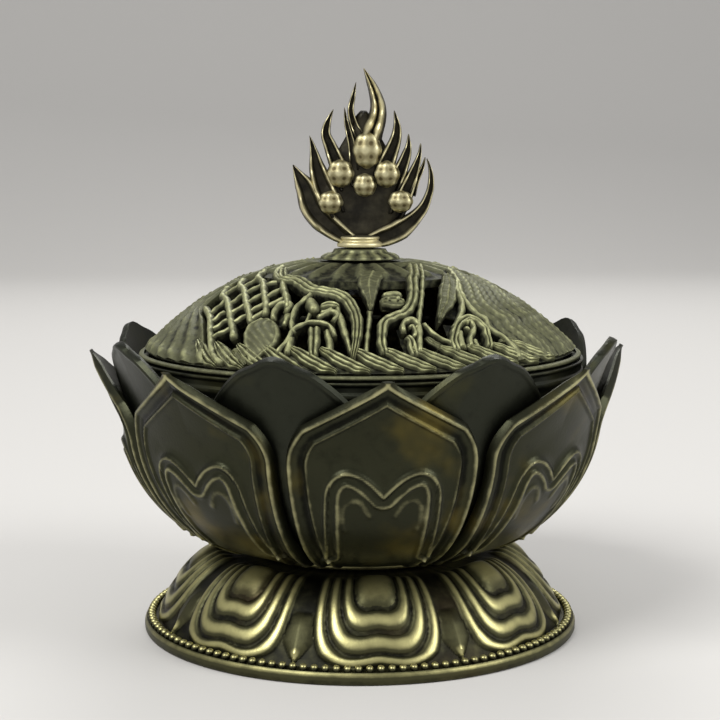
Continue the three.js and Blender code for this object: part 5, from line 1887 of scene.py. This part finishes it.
@dataclass
class Fixings:
    """Screw, washers and nuts that clamp foot, bowl and cup, and finial and lid."""

    lid_turn: float = -4.5
    screw_radius: float = 2.5
    screw_bottom: float = 5.1
    head_bottom: float = 21.1
    head_radius: float = 4.6
    head_edge: float = 1.0
    head_height: float = 2.0
    slot_half: float = 0.6
    slot_depth: float = 1.0
    thread_pitch: float = 0.8
    thread_depth: float = 0.12
    foot_washer: tuple = (2.9, 6.0, 9.9, 10.7)
    foot_nut: tuple = (2.9, 8.0, 6.0, 9.6)
    lid_washer: tuple = (2.4, 5.0, 61.5, 62.3)
    lid_nut: tuple = (2.4, 7.0, 58.2, 61.2)

    @staticmethod
    def washer(bore: float, radius: float, bottom: float, top: float) -> Surface:
        """A flat ring with slightly rounded edges."""
        outside = [(bore, bottom), (radius, bottom), (radius, top), (bore, top)]
        return revolved(rounded([*outside, (bore, bottom + 0.1)], 0.15, 3), 96)

    @staticmethod
    def nut(bore: float, across: float, bottom: float, top: float) -> Surface:
        """A hexagon nut with chamfered corners.

        Formula: the outline's radius is half the width across flats over the cosine of the angle
        to the nearest flat, held within a cone at each end.
        """
        columns = 96
        angle = np.arange(columns) * FULL_TURN / columns
        flat = across / 2 / np.cos(np.radians((angle + 30) % 60 - 30))
        corner = across / np.sqrt(3)
        limits, heights = np.array(
            [
                (bore + 0.2, bottom), (across / 2 - 0.1, bottom), (corner + 0.1, bottom + 0.35),
                (corner + 0.1, top - 0.35), (across / 2 - 0.1, top), (bore + 0.2, top),
                (bore, top - 0.3), (bore, bottom + 0.3),
            ]
        ).T
        radius = np.minimum(limits[:, None], flat[None])
        points = polar(angle[None], radius, heights[:, None]).reshape(-1, 3)
        faces = [grid_faces(len(limits), columns, True, True)]
        return Surface(points, faces, np.full(len(points), 0.4))

    def screw(self) -> Surface:
        """A screw with a domed head, crossed by a slot, and a threaded shank.

        Formula: the shank's radius dips with the sine of height, once in each thread pitch.
        """
        thread = np.arange(self.screw_bottom + 0.4, self.head_bottom - 0.3, 0.2)
        groove = 0.5 + 0.5 * np.sin(2 * np.pi * thread / self.thread_pitch)
        shank = np.stack([self.screw_radius - self.thread_depth * groove, thread], 1)
        top = self.head_bottom + self.head_height
        edge = self.head_bottom + self.head_edge
        dome = np.linspace(0, 1, 12) * np.pi / 2
        head_radius = self.head_radius * np.cos(dome)
        head_height = edge + (self.head_height - self.head_edge) * np.sin(dome)
        line = np.vstack(
            [
                [(0, self.screw_bottom), (self.screw_radius - 0.5, self.screw_bottom)], shank,
                [(self.screw_radius, self.head_bottom), (self.head_radius, self.head_bottom)],
                np.stack([head_radius, head_height], 1)[:-1], [(0, top)],
            ]
        )
        body = revolved(line, 128)
        in_slot = (np.abs(body.points[:, 1]) < self.slot_half) & (body.points[:, 2] > edge)
        body.points[in_slot, 2] = np.minimum(body.points[in_slot, 2], top - self.slot_depth)
        return body

    def build(self) -> None:
        """Makes the five fixings."""
        pieces = (
            ("slotted_screw", self.screw(), "base", "centre_screw", 0.0),
            ("plain_washer_foot", self.washer(*self.foot_washer), "base", "foot_washer", 0.0),
            ("hex_nut_foot", self.nut(*self.foot_nut), "base", "foot_nut", 0.0),
            (
                "plain_washer_lid", self.washer(*self.lid_washer), "lid", "finial_washer",
                self.lid_turn,
            ),
            ("hex_nut_lid", self.nut(*self.lid_nut), "lid", "finial_nut", self.lid_turn),
        )
        for name, surface, body, node, turn in pieces:
            piece = make_piece(name, [surface.moved(turn)], Finish.STEEL, 30.0)
            dress(piece, body, "fixings", node)


# Studio


@dataclass
class Studio:
    """Pale floor and backdrop, soft light, and the camera at the picture's viewing angle.

    The floor and the lamps are measured in metres and watts.
    """

    camera_turn: float = -5.1
    camera_distance: float = 286.4
    camera_height: float = 81.3
    aim_height: float = 46.8
    lens: float = 82.0
    pale: str = "#c6c4c0"
    sky: str = "#e6e6e8"
    sky_strength: float = 0.6
    floor_front: float = -1.6
    floor_back: float = 0.9
    floor_half: float = 2.5
    curve: float = 0.6
    wall: float = 1.6
    lamp_size: float = 0.5
    lamp_aim: tuple = (0.0, 0.0, 0.04)
    lamps: tuple = (
        ("key_softbox", (-0.55, -0.5, 0.8), 9.6),
        ("fill_softbox", (0.75, -0.4, 0.5), 5.6),
        ("back_softbox", (0.1, 0.7, 0.7), 3.6),
    )

    def floor(self) -> None:
        """A floor that curves up into a backdrop.

        Formula: a flat strip, a quarter circle and an upright strip, drawn along +X.
        """
        bend = np.radians(np.linspace(0, 90, 24))
        y, z = self.floor_back + self.curve * np.sin(bend), self.curve * (1 - np.cos(bend))
        y = np.r_[self.floor_front, y, self.floor_back + self.curve]
        z = np.r_[0, z, self.wall]
        x = np.array([-self.floor_half, self.floor_half])
        grid = np.broadcast_arrays(x[None], y[:, None], z[:, None])
        points = np.stack(grid, -1).reshape(-1, 3)
        mesh = bpy.data.meshes.new("studio_floor")
        mesh.from_pydata(points.tolist(), [], grid_faces(len(y), 2).tolist())
        mesh.polygons.foreach_set("use_smooth", np.ones(len(mesh.polygons), bool))
        floor = bpy.data.objects.new("studio_floor", mesh)
        bpy.context.scene.collection.objects.link(floor)
        material = bpy.data.materials.new("matt_paper")
        material.use_nodes = True
        shader = material.node_tree.nodes["Principled BSDF"]
        shader.inputs["Base Color"].default_value = linear(self.pale)
        shader.inputs["Roughness"].default_value = 0.9
        mesh.materials.append(material)

    def light(self) -> None:
        """Two large soft lamps, a weak one behind, and a pale world."""
        for name, place, power in self.lamps:
            lamp = bpy.data.lights.new(name, "AREA")
            lamp.size = self.lamp_size
            lamp.energy = power
            self.aimed(name, lamp, Vector(place), Vector(self.lamp_aim))
        world = bpy.data.worlds.new("pale_room")
        world.use_nodes = True
        background = world.node_tree.nodes["Background"]
        background.inputs["Color"].default_value = linear(self.sky)
        background.inputs["Strength"].default_value = self.sky_strength
        bpy.context.scene.world = world

    def camera(self) -> None:
        """The camera where the picture's camera stood."""
        turn, far = np.radians(self.camera_turn), self.camera_distance
        place = Vector((np.sin(turn) * far, -np.cos(turn) * far, self.camera_height)) * MM
        lens = bpy.data.cameras.new("picture_camera")
        lens.lens = self.lens
        lens.clip_start = 0.01
        aim = Vector((0, 0, self.aim_height * MM))
        bpy.context.scene.camera = self.aimed("picture_camera", lens, place, aim)
        bpy.context.scene.view_settings.view_transform = "Standard"

    @staticmethod
    def aimed(name: str, data: bpy.types.ID, place: Vector, aim: Vector) -> bpy.types.Object:
        """Puts a lamp or camera in its place, turned towards a point."""
        holder = bpy.data.objects.new(name, data)
        holder.location = place
        holder.rotation_euler = (aim - place).to_track_quat("-Z", "Y").to_euler()
        bpy.context.scene.collection.objects.link(holder)
        return holder

    def build(self) -> None:
        """Sets up the whole studio."""
        self.camera()
        self.floor()
        self.light()


def main() -> None:
    """Builds the studio and the holder, sub-assembly by sub-assembly."""
    logging.basicConfig(level=logging.INFO, format="%(message)s")
    Studio().build()
    outline = BowlOutline()
    inner_outline = BowlOutline(tip_radius=46.7, tip_height=51.0, tip_flare=25.0, tip_reach=5.7)
    Foot().build()
    NeckCollar().build()
    Cup(outline).build()
    Petals(outline, inner_outline).build()
    Lid().build()
    Finial().build()
    AshDish().build()
    ConeSeat().build()
    Fixings().build()


if __name__ == "__main__":
    main()
